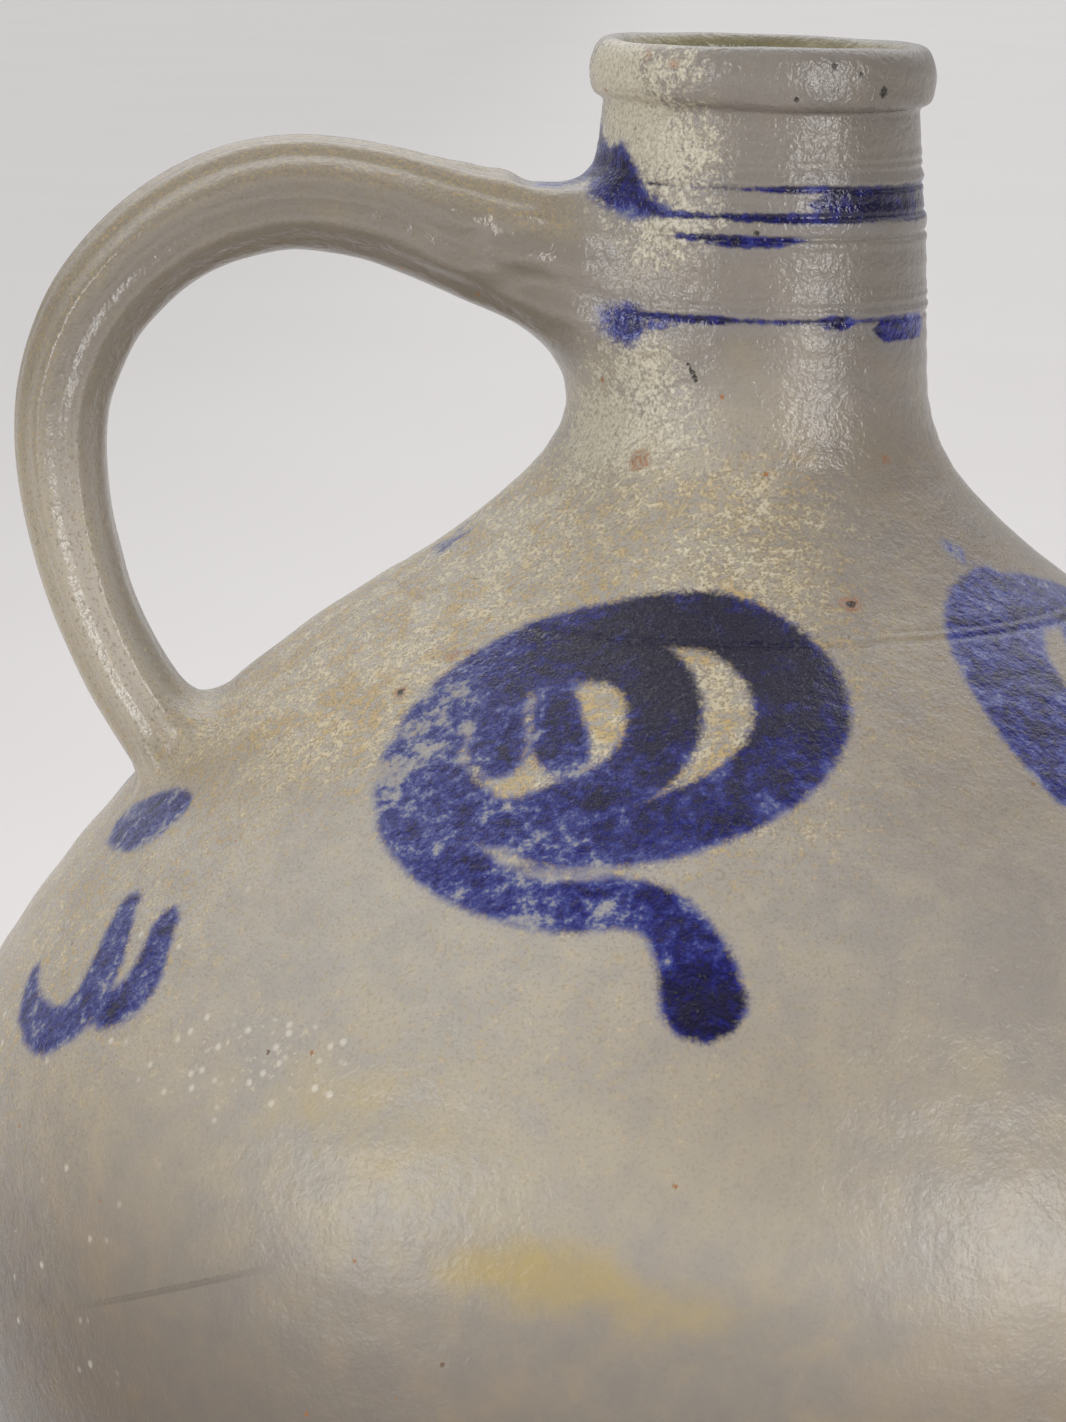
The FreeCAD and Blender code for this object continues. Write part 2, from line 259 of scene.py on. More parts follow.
SCROLL_IN = [(-36.0, 271.2, 6.0), (-31.8, 273.6, 6.8), (-26.1, 274.6, 6.9), (-20.6, 273.9, 7.0), (-16.5, 270.6, 6.8),
             (-14.9, 265.2, 7.0), (-16.0, 259.7, 6.9), (-19.2, 255.4, 6.6), (-23.2, 252.6, 6.2), (-26.6, 249.9, 5.8),
             (-30.2, 249.0, 5.6), (-34.4, 251.3, 5.0), (-37.9, 254.7, 4.0)]
BUD_A = [(-35.4, 271.4, 4.2), (-36.4, 268.0, 4.6), (-35.6, 264.0, 5.2), (-34.0, 260.4, 5.9), (-32.2, 258.0, 4.4)]
BUD_B = [(-31.6, 271.0, 3.8), (-29.6, 267.6, 4.2), (-27.6, 263.9, 5.0), (-26.0, 260.9, 5.4), (-24.4, 258.9, 3.8)]
RIGHT_A = [(47.0, 283.2, 7.6), (40.0, 281.0, 8.6), (34.8, 276.9, 8.8), (32.0, 270.0, 8.8), (31.6, 262.4, 8.2), (32.4, 256.0, 7.6)]
LEFT_A = [(-74.9, 204.8, 2.3), (-72.0, 200.7, 3.3), (-66.9, 199.2, 5.0), (-63.9, 203.2, 5.5), (-63.4, 210.0, 5.5),
          (-64.9, 217.0, 4.8), (-66.3, 222.2, 3.4)]
LEFT_B = [(-59.4, 222.8, 3.5), (-58.3, 217.2, 4.4), (-57.9, 211.2, 5.4), (-59.8, 207.2, 4.3)]
LEFT_FOOT = [(-81.0, 230.8, 4.8), (-77.6, 232.6, 7.2), (-74.0, 234.8, 7.6), (-71.6, 237.6, 4.4)]
DROP = [(43.0, 291.6, 1.6), (44.3, 290.6, 2.2)]
DAB = [(-92.8, 283.4, 1.8), (-85.0, 287.2, 1.2)]


# iron spots: angle, height, radius of the rust, radius of the pit
SPOTS = [(-52.2, 264.8, 1.9, 0.8), (-49.6, 271.4, 1.7, 0.0), (-38.6, 306.1, 2.4, 0.0), (13.2, 283.7, 2.2, 0.9),
         (37.2, 307.1, 1.1, 0.0), (36.3, 377.0, 0.0, 0.9), (-6.0, 350.3, 0.0, 0.7), (-26.4, 324.9, 0.0, 0.22), (-25.8, 324.2, 0.0, 0.30), (-25.1, 323.4, 0.0, 0.34), (-24.4, 322.6, 0.0, 0.28), (-23.7, 321.8, 0.0, 0.18), (17.5, 382.0, 0.0, 0.5), (5.0, 375.5, 0.0, 0.4), (27.0, 380.5, 0.0, 0.3), (-36.0, 381.5, 1.0, 0.0), (-48.0, 383.6, 1.6, 0.0), (-47.5, 272.5, 1.2, 0.0),
         (150.0, 262.0, 2.0, 0.8), (-140.0, 300.0, 1.6, 0.6), (98.0, 230.0, 2.0, 0.0)]


def mirrored(stroke, about, turn=0.0, dz=0.0, k=1.0):
    return [(2 * about - a + turn, z + dz, w * k) for a, z, w in stroke]


def moved(stroke, turn, dz=0.0, k=1.0):
    return [(a + turn, z + dz, w * k) for a, z, w in stroke]


# the visible scroll, its mirror image to the right, and the same pair behind
PAIR = 18.8
SET_OUT, SET_IN = [], []
for kind in (lambda s: s, lambda s: mirrored(s, PAIR, 0.0, 0.6, 1.02)):
    SET_OUT.append((kind(SCROLL_OUT), 1.0))
    SET_IN += [(kind(SCROLL_IN), 1.0), (kind(BUD_A), 0.85), (kind(BUD_B), 0.75)]
for kind in (lambda s: mirrored(s, 90.0, 2.0, -1.0, 0.97), lambda s: mirrored(mirrored(s, PAIR), 90.0, -1.5, 0.8, 1.0)):
    SET_OUT.append((kind(SCROLL_OUT), 0.95))
    SET_IN += [(kind(SCROLL_IN), 0.95), (kind(BUD_A), 0.85), (kind(BUD_B), 0.75)]
for kind in (lambda s: s, lambda s: mirrored(s, -90.0, 1.0, 0.5, 1.0)):
    SET_OUT += [(kind(LEFT_A), 0.85), (kind(LEFT_B), 1.10), (kind(LEFT_FOOT), 0.60), (kind(DAB), 0.2)]
SET_OUT += [(DROP, 0.3), (RIGHT_A, 0.8)]


def smooth_stroke(stroke, n=6):
    return spline(np.array(stroke, float), n)


def stroke_field(strokes, phi_deg, z, start=60.0):
    """Distance in mm outside the nearest stroke's edge (negative inside), and that stroke's load of colour."""
    best = np.full(phi_deg.shape, start)
    load = np.zeros(phi_deg.shape)
    length = wall_len(z)
    radius = wall_r(z)
    for stroke, strength in strokes:
        pts = smooth_stroke(stroke)
        a, zz, w = pts[:, 0], pts[:, 1], pts[:, 2]
        mid = (a.min() + a.max()) / 2.0
        rel = (phi_deg - mid + 180.0) % 360.0 - 180.0
        near = np.nonzero((np.abs(rel) < (a.max() - a.min()) / 2.0 + 25.0)
                          & (z > zz.min() - 30.0) & (z < zz.max() + 30.0))[0]
        if not len(near):
            continue
        pu = np.radians(rel[near]) * radius[near]
        pv = length[near]
        rr = radius[near]
        L = wall_len(zz)
        d_best = np.full(len(near), 1e9)
        for i in range(len(pts) - 1):
            au = np.radians(a[i] - mid) * rr
            bu = np.radians(a[i + 1] - mid) * rr
            dv = L[i + 1] - L[i]
            du = bu - au
            t = np.clip(((pu - au) * du + (pv - L[i]) * dv) / (du * du + dv * dv + 1e-9), 0, 1)
            d = np.hypot(pu - au - t * du, pv - L[i] - t * dv) - (w[i] + t * (w[i + 1] - w[i]))
            np.minimum(d_best, d, out=d_best)
        closer = d_best < best[near]
        idx = near[closer]
        best[idx] = d_best[closer]
        load[idx] = strength
    return best, load


def seg_dist(p, a, b, ra, rb):
    a, b = np.array(a, float), np.array(b, float)
    d = b - a
    t = np.clip(((p - a) @ d) / (d @ d), 0, 1)
    return np.linalg.norm(p - a - t[:, None] * d, axis=1) - (ra + t * (rb - ra))


def on_neck(deg, z, off=0.0):
    r = (float(wall_r(z)) if z < 372.4 else 33.9) + off
    return (r * math.sin(math.radians(deg)), -r * math.cos(math.radians(deg)), z)


def smear_field(p):
    """Cobalt dabbed on the upper joint and its small runs on the neck, as capsules in space."""
    d = np.full(len(p), 60.0)
    for side in (1.0, -1.0):
        q = p * np.array([1.0, side, 1.0])
        caps = [
            (on_neck(-92, 367.5), on_neck(-86, 362.5), 0.8, 3.0),
            (on_neck(-86, 362.5), on_neck(-68, 358.3), 3.4, 5.0),
            (on_neck(-68, 358.3), on_neck(-52, 354.6), 5.0, 3.6),
            (on_neck(-84, 361.0, 1.0), (-42.0, -4.0, 357.8), 4.0, 2.6),
            ((-42.0, -4.0, 357.8), (-47.5, -5.0, 358.6), 2.6, 0.8),
            (on_neck(-59, 331.9), on_neck(-49, 331.4), 4.0, 4.4),
            (on_neck(-66, 330.0), on_neck(-58, 331.9), 0.8, 3.6),
            (on_neck(-66, 361.0), on_neck(-56, 358.2), 4.6, 3.0),
            (on_neck(-50, 354.2), on_neck(-38, 353.4), 3.0, 0.8),
        ]
        for a, b, ra, rb in caps:
            if side < 0:
                ra, rb = ra * 0.9, rb * 0.9
            np.minimum(d, seg_dist(q, a, b, ra, rb), out=d)
    return d


def neck_line_field(phi_deg, z):
    """Thin cobalt left in the cut lines of the neck: signed distance, given line by line."""
    phi = np.radians(phi_deg)
    wob = 0.22 * np.sin(phi + 0.4) + 0.12 * np.sin(2 * phi + 1.7)
    a = (phi_deg + 180.0) % 360.0 - 180.0
    best = np.full(z.shape, 30.0)

    def span(lo, hi, soft=6.0):
        return sstep(lo - soft, lo + soft, a) * (1 - sstep(hi - soft, hi + soft, a))

    def add(z0, half, mask):
        h = half * mask
        d = np.where(h > 0.03, np.abs(z - z0) - h, 30.0)
        np.minimum(best, d, out=best)

    # band: upper line, lower line, and solid where the brush stayed full
    add(358.35 + wob, 0.60, np.clip(0.42 + 0.75 * span(0, 175, 10) + 0.25 * np.sin(phi * 5 + 1), 0, 1.2) * (1 - span(-36, -12, 8) * 0.35))
    add(353.0 + wob, 0.85, np.clip(0.62 + 0.5 * span(-14, 175, 10) + 0.15 * np.sin(phi * 7), 0, 1.25))
    full = np.clip(span(15.0, 150.0, 6.0) + 0.9 * span(-178, -130, 9), 0, 1)
    add(355.5 + wob, 3.3, full)
    # single line under the band, smudged downwards
    add(348.95 + wob * 0.8, 0.66, span(-33.0, 8.0, 6.0) + 0.7 * span(95.0, 160.0, 9.0))
    add(348.0 + wob * 0.8, 0.75, 0.9 * span(-20.0, 2.0, 5.0) + 0.5 * span(100.0, 150.0, 9.0))
    # lower ring
    add(333.45 + wob * 0.9, 0.85, span(-47.0, -14.0, 5.0) + 0.5 * span(-14, 62.0, 8.0) + 0.6 * span(100.0, 170.0, 8.0))
    add(331.6 + wob * 0.9, 1.4, 0.45 * span(-46.0, -34.0, 4.0))
    add(331.6 + wob * 0.9, 2.6, 0.95 * span(38.0, 68.0, 4.0) + 0.8 * span(128.0, 150.0, 5.0))
    add(333.2 + wob * 0.9, 1.5, 0.9 * span(16.0, 27.0, 3.0))
    return best


# =============================================================== meshes
def mesh_object(name, verts_mm, faces):
    me = bpy.data.meshes.new(name)
    me.from_pydata((np.asarray(verts_mm) * MM).tolist(), [], [tuple(int(i) for i in f) for f in faces])
    me.validate()
    me.update()
    me.polygons.foreach_set("use_smooth", np.ones(len(me.polygons), bool))
    ob = bpy.data.objects.new(name, me)
    bpy.context.scene.collection.objects.link(ob)
    return ob


def set_attr(ob, name, values):
    at = ob.data.attributes.new(name, "FLOAT", "POINT")
    at.data.foreach_set("value", np.asarray(values, np.float32))


def set_vec(ob, name, values):
    at = ob.data.attributes.new(name, "FLOAT_VECTOR", "POINT")
    at.data.foreach_set("vector", np.asarray(values, np.float32).ravel())


def resample(path, spacing):
    """Points along a path at a spacing that depends on height."""
    seg = np.hypot(*np.diff(path, axis=0).T)
    s = np.concatenate([[0.0], np.cumsum(seg)])
    out, pos = [0.0], 0.0
    while pos < s[-1]:
        r = np.interp(pos, s, path[:, 0])
        z = np.interp(pos, s, path[:, 1])
        pos += spacing(r, z)
        out.append(min(pos, s[-1]))
    if len(out) > 2 and out[-1] - out[-2] < 0.3 * spacing(*path[-1]):
        out.pop(-2)
    out = np.array(out)
    return np.stack([np.interp(out, s, path[:, 0]), np.interp(out, s, path[:, 1])], -1)


def outer_spacing(r, z):
    if z > 372.3:
        return 0.72
    if 346.5 < z < 364.5 or 331.5 < z < 337.5:
        return 0.38
    if z > 326:
        return 0.62
    if z > 300:
        return 1.25
    if 276.0 < z < 279.6:
        return 0.42
    if z > 196:
        return 2.25
    if z > 140:
        return 2.9
    if z > 6:
        return 5.0
    return 0.9


def inner_spacing(r, z):
    return 1.8 if z > 372 else (6.0 if z > 320 else 12.0)


dense = np.radians(np.arange(-88.0, 66.0, 0.88))
rest = np.radians(np.linspace(66.0, 272.0, 110, endpoint=False))
PHI = np.concatenate([dense, rest])
PHI = np.unique(np.round(PHI, 6))
NCOL = len(PHI)

out_path = resample(OUTER, outer_spacing)
in_path = resample(THROAT, inner_spacing)
NOUT, NIN = len(out_path), len(in_path)


def path_normals(path):
    t = np.gradient(path, axis=0)
    t /= np.linalg.norm(t, axis=1)[:, None] + 1e-12
    return np.stack([t[:, 1], -t[:, 0]], -1)      # outward: right of the travel direction


def build_body():
    nrm = path_normals(out_path)
    verts = []
    rows = []
    # underside, from the middle out: a shallow hollow inside the resting ring
    for r, z in ((0.0, 1.1), (30.0, 1.1), (60.0, 1.05), (80.0, 0.9), (88.0, 0.45), (93.0, 0.0), (98.0, 0.0)):
        rows.append(("flat", r, z))
    grid = []
    for _, r, z in rows[1:]:
        grid.append(np.stack([r * np.sin(PHI), -r * np.cos(PHI), np.full(NCOL, z)], -1))
    n_under = len(grid)
    for i in range(NOUT):
        r, z = out_path[i]
        nr, nz = nrm[i]
        if z < 372.3 and i < NOUT - 20:
            d = relief(PHI, np.full(NCOL, z)) * sstep(0.0, 6.0, np.full(NCOL, z))
        else:
            d = relief(PHI, np.full(NCOL, 372.3)) * 0.6
            # the rolled rim: uneven thickness and a slack lower edge
            low = np.exp(-((z - 374.4) / 1.5) ** 2) * (1.0 if r > 30.0 else 0.0)
            d = d + low * (0.30 * np.sin(PHI + 0.9) + 0.16 * np.sin(3 * PHI + 0.3) + 0.10 * np.sin(7 * PHI))
            top = sstep(380.0, 385.0, z)
            d = d + 0.06 * np.sin(4 * PHI + z) + 0.05 * np.sin(9 * PHI + 2.0) - 0.05 * top
        rr = r + nr * d
        zz = np.minimum(z + nz * d, HEIGHT + 0.12)
        zz = np.maximum(zz, 0.0)
        if z > 371.5:
            zz = zz + 0.18 * np.sin(PHI + 2.4) * sstep(371.5, 374.0, z) * (1 - sstep(379.0, 384.0, z))
        grid.append(np.stack([rr * np.sin(PHI), -rr * np.cos(PHI), zz * np.ones(NCOL)], -1))
    for i in range(1, NIN):
        r, z = in_path[i]
        d = 0.25 * np.sin(2 * math.pi * (z / 12.0 - PHI / (2 * math.pi))) * sstep(372.0, 340.0, z) * 0.6
        grid.append(np.stack([(r + d) * np.sin(PHI), -(r + d) * np.cos(PHI), np.full(NCOL, z)], -1))
    for r in (42.0, 20.0):
        grid.append(np.stack([r * np.sin(PHI), -r * np.cos(PHI), np.full(NCOL, 12.0)], -1))
    grid = np.array(grid)
    nrow = len(grid)
    v = grid.reshape(-1, 3)
    bottom, floor = len(v), len(v) + 1
    v = np.vstack([v, [[0.0, 0.0, 1.1], [0.0, 0.0, 12.0]]])
    i = np.arange(nrow - 1)[:, None] * NCOL
    j = np.arange(NCOL)[None, :]
    k = (j + 1) % NCOL
    quads = np.stack([i + j, i + k, i + NCOL + k, i + NCOL + j], -1).reshape(-1, 4)
    faces = quads.tolist()
    last = (nrow - 1) * NCOL
    for c in range(NCOL):
        n = (c + 1) % NCOL
        faces.append((n, c, bottom))
        faces.append((last + c, last + n, floor))
    ob = mesh_object("thrown_body_pot", v, faces)
    # zones for colour
    inner = np.zeros(len(v))
    bare = np.zeros(len(v))
    row_of = np.repeat(np.arange(nrow), NCOL)
    first_in = n_under + NOUT
    r_here = np.hypot(v[:, 0], v[:, 1])
    inner[: len(row_of)] = np.where(row_of >= first_in, 1.0, 0.0)
    lip = (row_of < first_in) & (v[: len(row_of), 2] > 379.0) & (r_here[: len(row_of)] < 30.2)
    inner[: len(row_of)] = np.maximum(inner[: len(row_of)], np.where(lip, sstep(29.8, 27.2, r_here[: len(row_of)]), 0.0))
    inner[floor] = 1.0
    bare[: len(row_of)] = np.where(row_of < n_under, 1.0, 0.0)
    wall = (row_of >= n_under) & (row_of < first_in)
    bare[: len(row_of)] = np.maximum(bare[: len(row_of)], np.where(wall, 1.0 - sstep(0.6, 3.4, v[: len(row_of), 2]), 0.0))
    bare[bottom] = 1.0
    return ob, v, inner, bare


# ------------------------------------------------------------- handle as a blended field
# centreline of the strap: reach from the axis, height, thickness, width
STRAP = np.array([
    (20.0, 338.6, 29.0, 35.0), (28.0, 339.6, 28.6, 35.0), (35.0, 340.8, 28.0, 34.6), (42.5, 342.3, 27.2, 34.2),
    (50.6, 344.4, 26.3, 33.8), (57.9, 346.7, 25.1, 33.4), (65.8, 349.1, 23.8, 33.0), (74.0, 351.4, 22.8, 32.6),
    (82.8, 352.9, 22.4, 32.4), (92.1, 353.3, 22.0, 32.2), (101.3, 351.5, 21.8, 32.0), (109.8, 348.1, 21.1, 31.8),
    (117.4, 343.2, 20.5, 31.6), (124.0, 337.0, 20.1, 31.4), (129.5, 329.9, 19.5, 31.2), (133.3, 321.7, 19.0, 31.0),
    (135.7, 313.1, 18.3, 30.8), (136.3, 304.4, 18.0, 30.6), (135.7, 296.0, 17.7, 30.4), (134.4, 287.8, 17.2, 30.2),
    (132.5, 280.1, 16.9, 30.0), (130.2, 272.5, 16.3, 29.8), (127.1, 265.1, 16.0, 29.6), (123.3, 257.6, 16.2, 29.8),
    (118.9, 250.6, 16.6, 30.2), (114.0, 243.6, 17.4, 31.0), (109.0, 236.8, 18.4, 32.0), (104.5, 230.8, 19.0, 32.6)])
CL = spline(STRAP, 24)
CLS, CLZ, CLT, CLW = CL.T
_t = np.gradient(CL[:, :2], axis=0)
_t /= np.linalg.norm(_t, axis=1)[:, None]
CL_LEN = np.concatenate([[0.0], np.cumsum(np.hypot(np.diff(CLS), np.diff(CLZ)))])


def along_strap(s, z):
    """Nearest place on the centreline for points of the handle's plane: length along, outward offset, sizes."""
    n = np.empty(s.shape)
    ln = np.empty(s.shape)
    th = np.empty(s.shape)
    wd = np.empty(s.shape)
    for c in range(0, len(s), 20000):
        ss, zz = s[c:c + 20000], z[c:c + 20000]
        d2 = (ss[:, None] - CLS[None, :]) ** 2 + (zz[:, None] - CLZ[None, :]) ** 2
        i = np.clip(np.argmin(d2, axis=1), 1, len(CLS) - 2)
        ts, tz = _t[i, 0], _t[i, 1]
        ds, dz = ss - CLS[i], zz - CLZ[i]
        along = ds * ts + dz * tz
        # interpolate along the neighbouring segment
        j = np.where(along > 0, i + 1, i - 1)
        seg = np.hypot(CLS[j] - CLS[i], CLZ[j] - CLZ[i])
        f = np.clip(np.abs(along) / seg, 0, 1)
        cs = CLS[i] + f * (CLS[j] - CLS[i])
        cz = CLZ[i] + f * (CLZ[j] - CLZ[i])
        ts = ts + f * (_t[j, 0] - ts)
        tz = tz + f * (_t[j, 1] - tz)
        n[c:c + 20000] = (ss - cs) * (-tz) + (zz - cz) * ts
        ln[c:c + 20000] = CL_LEN[i] + f * (CL_LEN[j] - CL_LEN[i])
        th[c:c + 20000] = CLT[i] + f * (CLT[j] - CLT[i])
        wd[c:c + 20000] = CLW[i] + f * (CLW[j] - CLW[i])
    return ln, n, th, wd


TOTAL = CL_LEN[-1]


def strap_dist(ln, n, th, wd, y):
    """Distance from the strap's surface, with its lengthwise ribs. ln.. are as along_strap gives them."""
    a, b = th / 2.0, wd / 2.0
    yy = y + 0.5 * np.sin(ln / 60.0 + 0.6)                   # the strap is not quite straight
    nn = n + 0.04 * yy * np.sin(ln / 47.0 + 1.0)               # and a little twisted
    p = 2.25
    u, w = np.abs(nn / a) + 1e-6, np.abs(yy / b) + 1e-6
    rho = (u ** p + w ** p) ** (1.0 / p)
    gx = u ** (p - 1) * rho ** (1 - p) / a
    gy = w ** (p - 1) * rho ** (1 - p) / b
    d = (rho - 1.0) / np.sqrt(gx * gx + gy * gy)
    psi = np.degrees(np.arctan2(-yy / b, nn / a))              # 0 outer back, 90 front edge, 180 inner face
    q = np.clip(ln / TOTAL, 0, 1)
    near_neck = 1.0 - sstep(18.0, 62.0, ln)
    h = np.zeros_like(d)
    ap = np.abs(psi)
    side = np.where(psi > 0, 1.0, 0.75)

    def bump(at, amp, sig):
        return amp * np.exp(-((ap - at) / sig) ** 2)

    wander = 4.0 * np.sin(ln / 33.0 + 0.5) + 2.0 * np.sin(ln / 13.0)
    h = h + side * bump(66.0 + wander * 0.5 + 22.0 * near_neck, 0.95, 10.0)
    h = h + side * bump(112.0 + wander * 0.4 + 14.0 * near_neck, 0.85, 10.0) * (1.0 - 0.3 * near_neck)
    h = h - side * bump(89.0 + wander * 0.5 + 19.0 * near_neck, 0.85, 9.0)
    h = h - bump(46.0 + wander * 0.6, 0.55, 7.0)
    h = h + bump(30.0 + wander * 0.6, 0.34, 8.0)
    h = h - bump(16.0 + wander * 0.3, 0.36, 6.0)
    h = h + np.exp(-((psi - 2.0) / 8.0) ** 2) * 0.30
    h = h - bump(138.0, 0.55, 13.0)
    h = h + 0.10 * np.sin(psi * 0.21 + 0.7 * np.sin(ln / 21.0)) * (0.5 + 0.5 * np.cos(q * 5.0 + 1.0))
    h = h + 0.12 * wnoise(ln / 16.0, psi / 30.0, 21)
    return d - h * sstep(-9.0, -1.0, d), psi


def body_dist(x, y, z):
    r = np.hypot(x, y)
    phi = np.arctan2(x, -y)
    slope = wall_slope(z)
    return (r - wall_r(z) - relief(phi, z)) / np.sqrt(1.0 + slope * slope)


SINK = 0.10


def blend_k(ln, n, y):
    """How far the worked-in clay spreads: wider under the upper joint, tight outside the lower one."""
    upper = 12.5 + 8.0 * sstep(2.0, -12.0, n) - 1.5 * sstep(0.0, 10.0, n)
    lower = 6.5 + 3.5 * sstep(0.0, -8.0, n) - 2.0 * sstep(2.0, 8.0, n) + 2.5 * sstep(6.0, 14.0, np.abs(y))
    t = sstep(TOTAL * 0.35, TOTAL * 0.65, ln)
    return upper + (lower - upper) * t


def field(x, y, z, plane=None):
    """Handle, worked-in clay and wall as one smooth surface: (blended distance, strap distance, wall distance)."""
    ln, n, th, wd = along_strap(-x, z) if plane is None else plane
    ds, psi = strap_dist(ln, n, th, wd, y)
    db = body_dist(x, y, z)
    k = blend_k(ln, n, y)
    # thumb-pressed clay on the near side of the upper joint, and two small presses under it
    def pat(amp, cx, cy, cz, sx, sy, sz):
        return amp * np.exp(-(((x - cx) / sx) ** 2 + ((y - cy) / sy) ** 2 + ((z - cz) / sz) ** 2))

    lump = pat(1.6, -43.0, -13.5, 333.0, 9.0, 6.5, 7.0) + pat(0.9, -40.0, 14.0, 334.0, 8.0, 7.0, 8.0)
    lump = lump + pat(0.9, -38.0, -8.0, 356.5, 6.0, 7.0, 4.0) - pat(0.8, -37.5, -19.0, 343.0, 5.0, 5.0, 7.0)
    # the strap's front rib runs into the neck and ends in a folded lip
    lump = lump + pat(1.1, -57.0, -15.0, 341.5, 8.0, 4.5, 2.4) + pat(1.2, -49.5, -17.5, 342.8, 4.5, 4.5, 2.2)
    lump = lump - pat(1.1, -50.0, -17.0, 347.4, 8.0, 5.0, 2.2) + pat(0.7, -47.0, -15.0, 351.8, 7.0, 5.0, 2.2)
    lump = lump - pat(0.9, -51.0, -17.0, 337.2, 8.0, 5.0, 2.0)
    # thumb marks along the top
    lump = lump + pat(0.9, -50.5, -3.0, 357.5, 3.2, 8.0, 4.0) - pat(0.7, -45.5, -2.0, 359.5, 2.4, 7.0, 4.0) + pat(0.5, -57.5, 3.0, 358.5, 3.0, 6.0, 3.0)
    lump = lump + pat(0.8, -117.0, -13.0, 243.0, 6.0, 6.0, 6.0) + pat(0.6, -113.0, 13.0, 241.0, 6.0, 6.0, 6.0)
    ds2 = ds - lump
    h = np.clip(0.5 + 0.5 * (db + SINK - ds2) / k, 0.0, 1.0)
    f = (db + SINK) * (1 - h) + ds2 * h - k * h * (1 - h)
    return f, ds2, db, k, ln, psi


def build_handle():
    import openvdb as vdb
    vox = 0.85
    lo = np.array([-149.0, -33.0, 226.0])
    hi = np.array([-13.0, 33.0, 371.5])
    nx, ny, nz = (np.ceil((hi - lo) / vox)).astype(int)
    xs = lo[0] + vox * np.arange(nx)
    ys = lo[1] + vox * np.arange(ny)
    zs = lo[2] + vox * np.arange(nz)
    XX, ZZ = np.meshgrid(xs, zs, indexing="ij")
    plane2 = along_strap(-XX.ravel(), ZZ.ravel())
    plane2 = [p.reshape(nx, nz) for p in plane2]
    out = np.empty((nx, ny, nz), np.float32)
    for j, y in enumerate(ys):
        yy = np.full((nx, nz), y)
        f, ds, db, k, ln, psi = field(XX, yy, ZZ, plane2)
        out[:, j, :] = np.maximum(np.maximum(f, -2.4 - db), ds - k - 1.5)
    grid = vdb.FloatGrid()
    grid.copyFromArray(np.clip(out, -4.0, 4.0))
    pts, quads = grid.convertToQuads()
    p = np.array(pts, float) * vox + lo
    quads = np.array(quads, int)
    # refine onto the exact blended surface where it is the visible skin
    for _ in range(3):
        f, g, vis = grad(p)
        step = f / np.maximum((g * g).sum(1), 0.05)
        step = np.clip(step, -0.8, 0.8) * vis
        p = p - g * step[:, None]
    return p, quads


def skin(p):
    f, ds, db, k, ln, psi = field(p[:, 0], p[:, 1], p[:, 2])
    vis = ((-2.4 - db) < f - 0.35) & ((ds - k - 1.5) < f - 0.35)
    return f, vis


def grad(p, e=0.12):
    f, vis = skin(p)
    g = np.zeros_like(p)
    for a in range(3):
        q = p.copy()
        q[:, a] += e
        f1, _ = skin(q)
        q[:, a] -= 2 * e
        f0, _ = skin(q)
        g[:, a] = (f1 - f0) / (2 * e)
    return f, g, vis.astype(float)


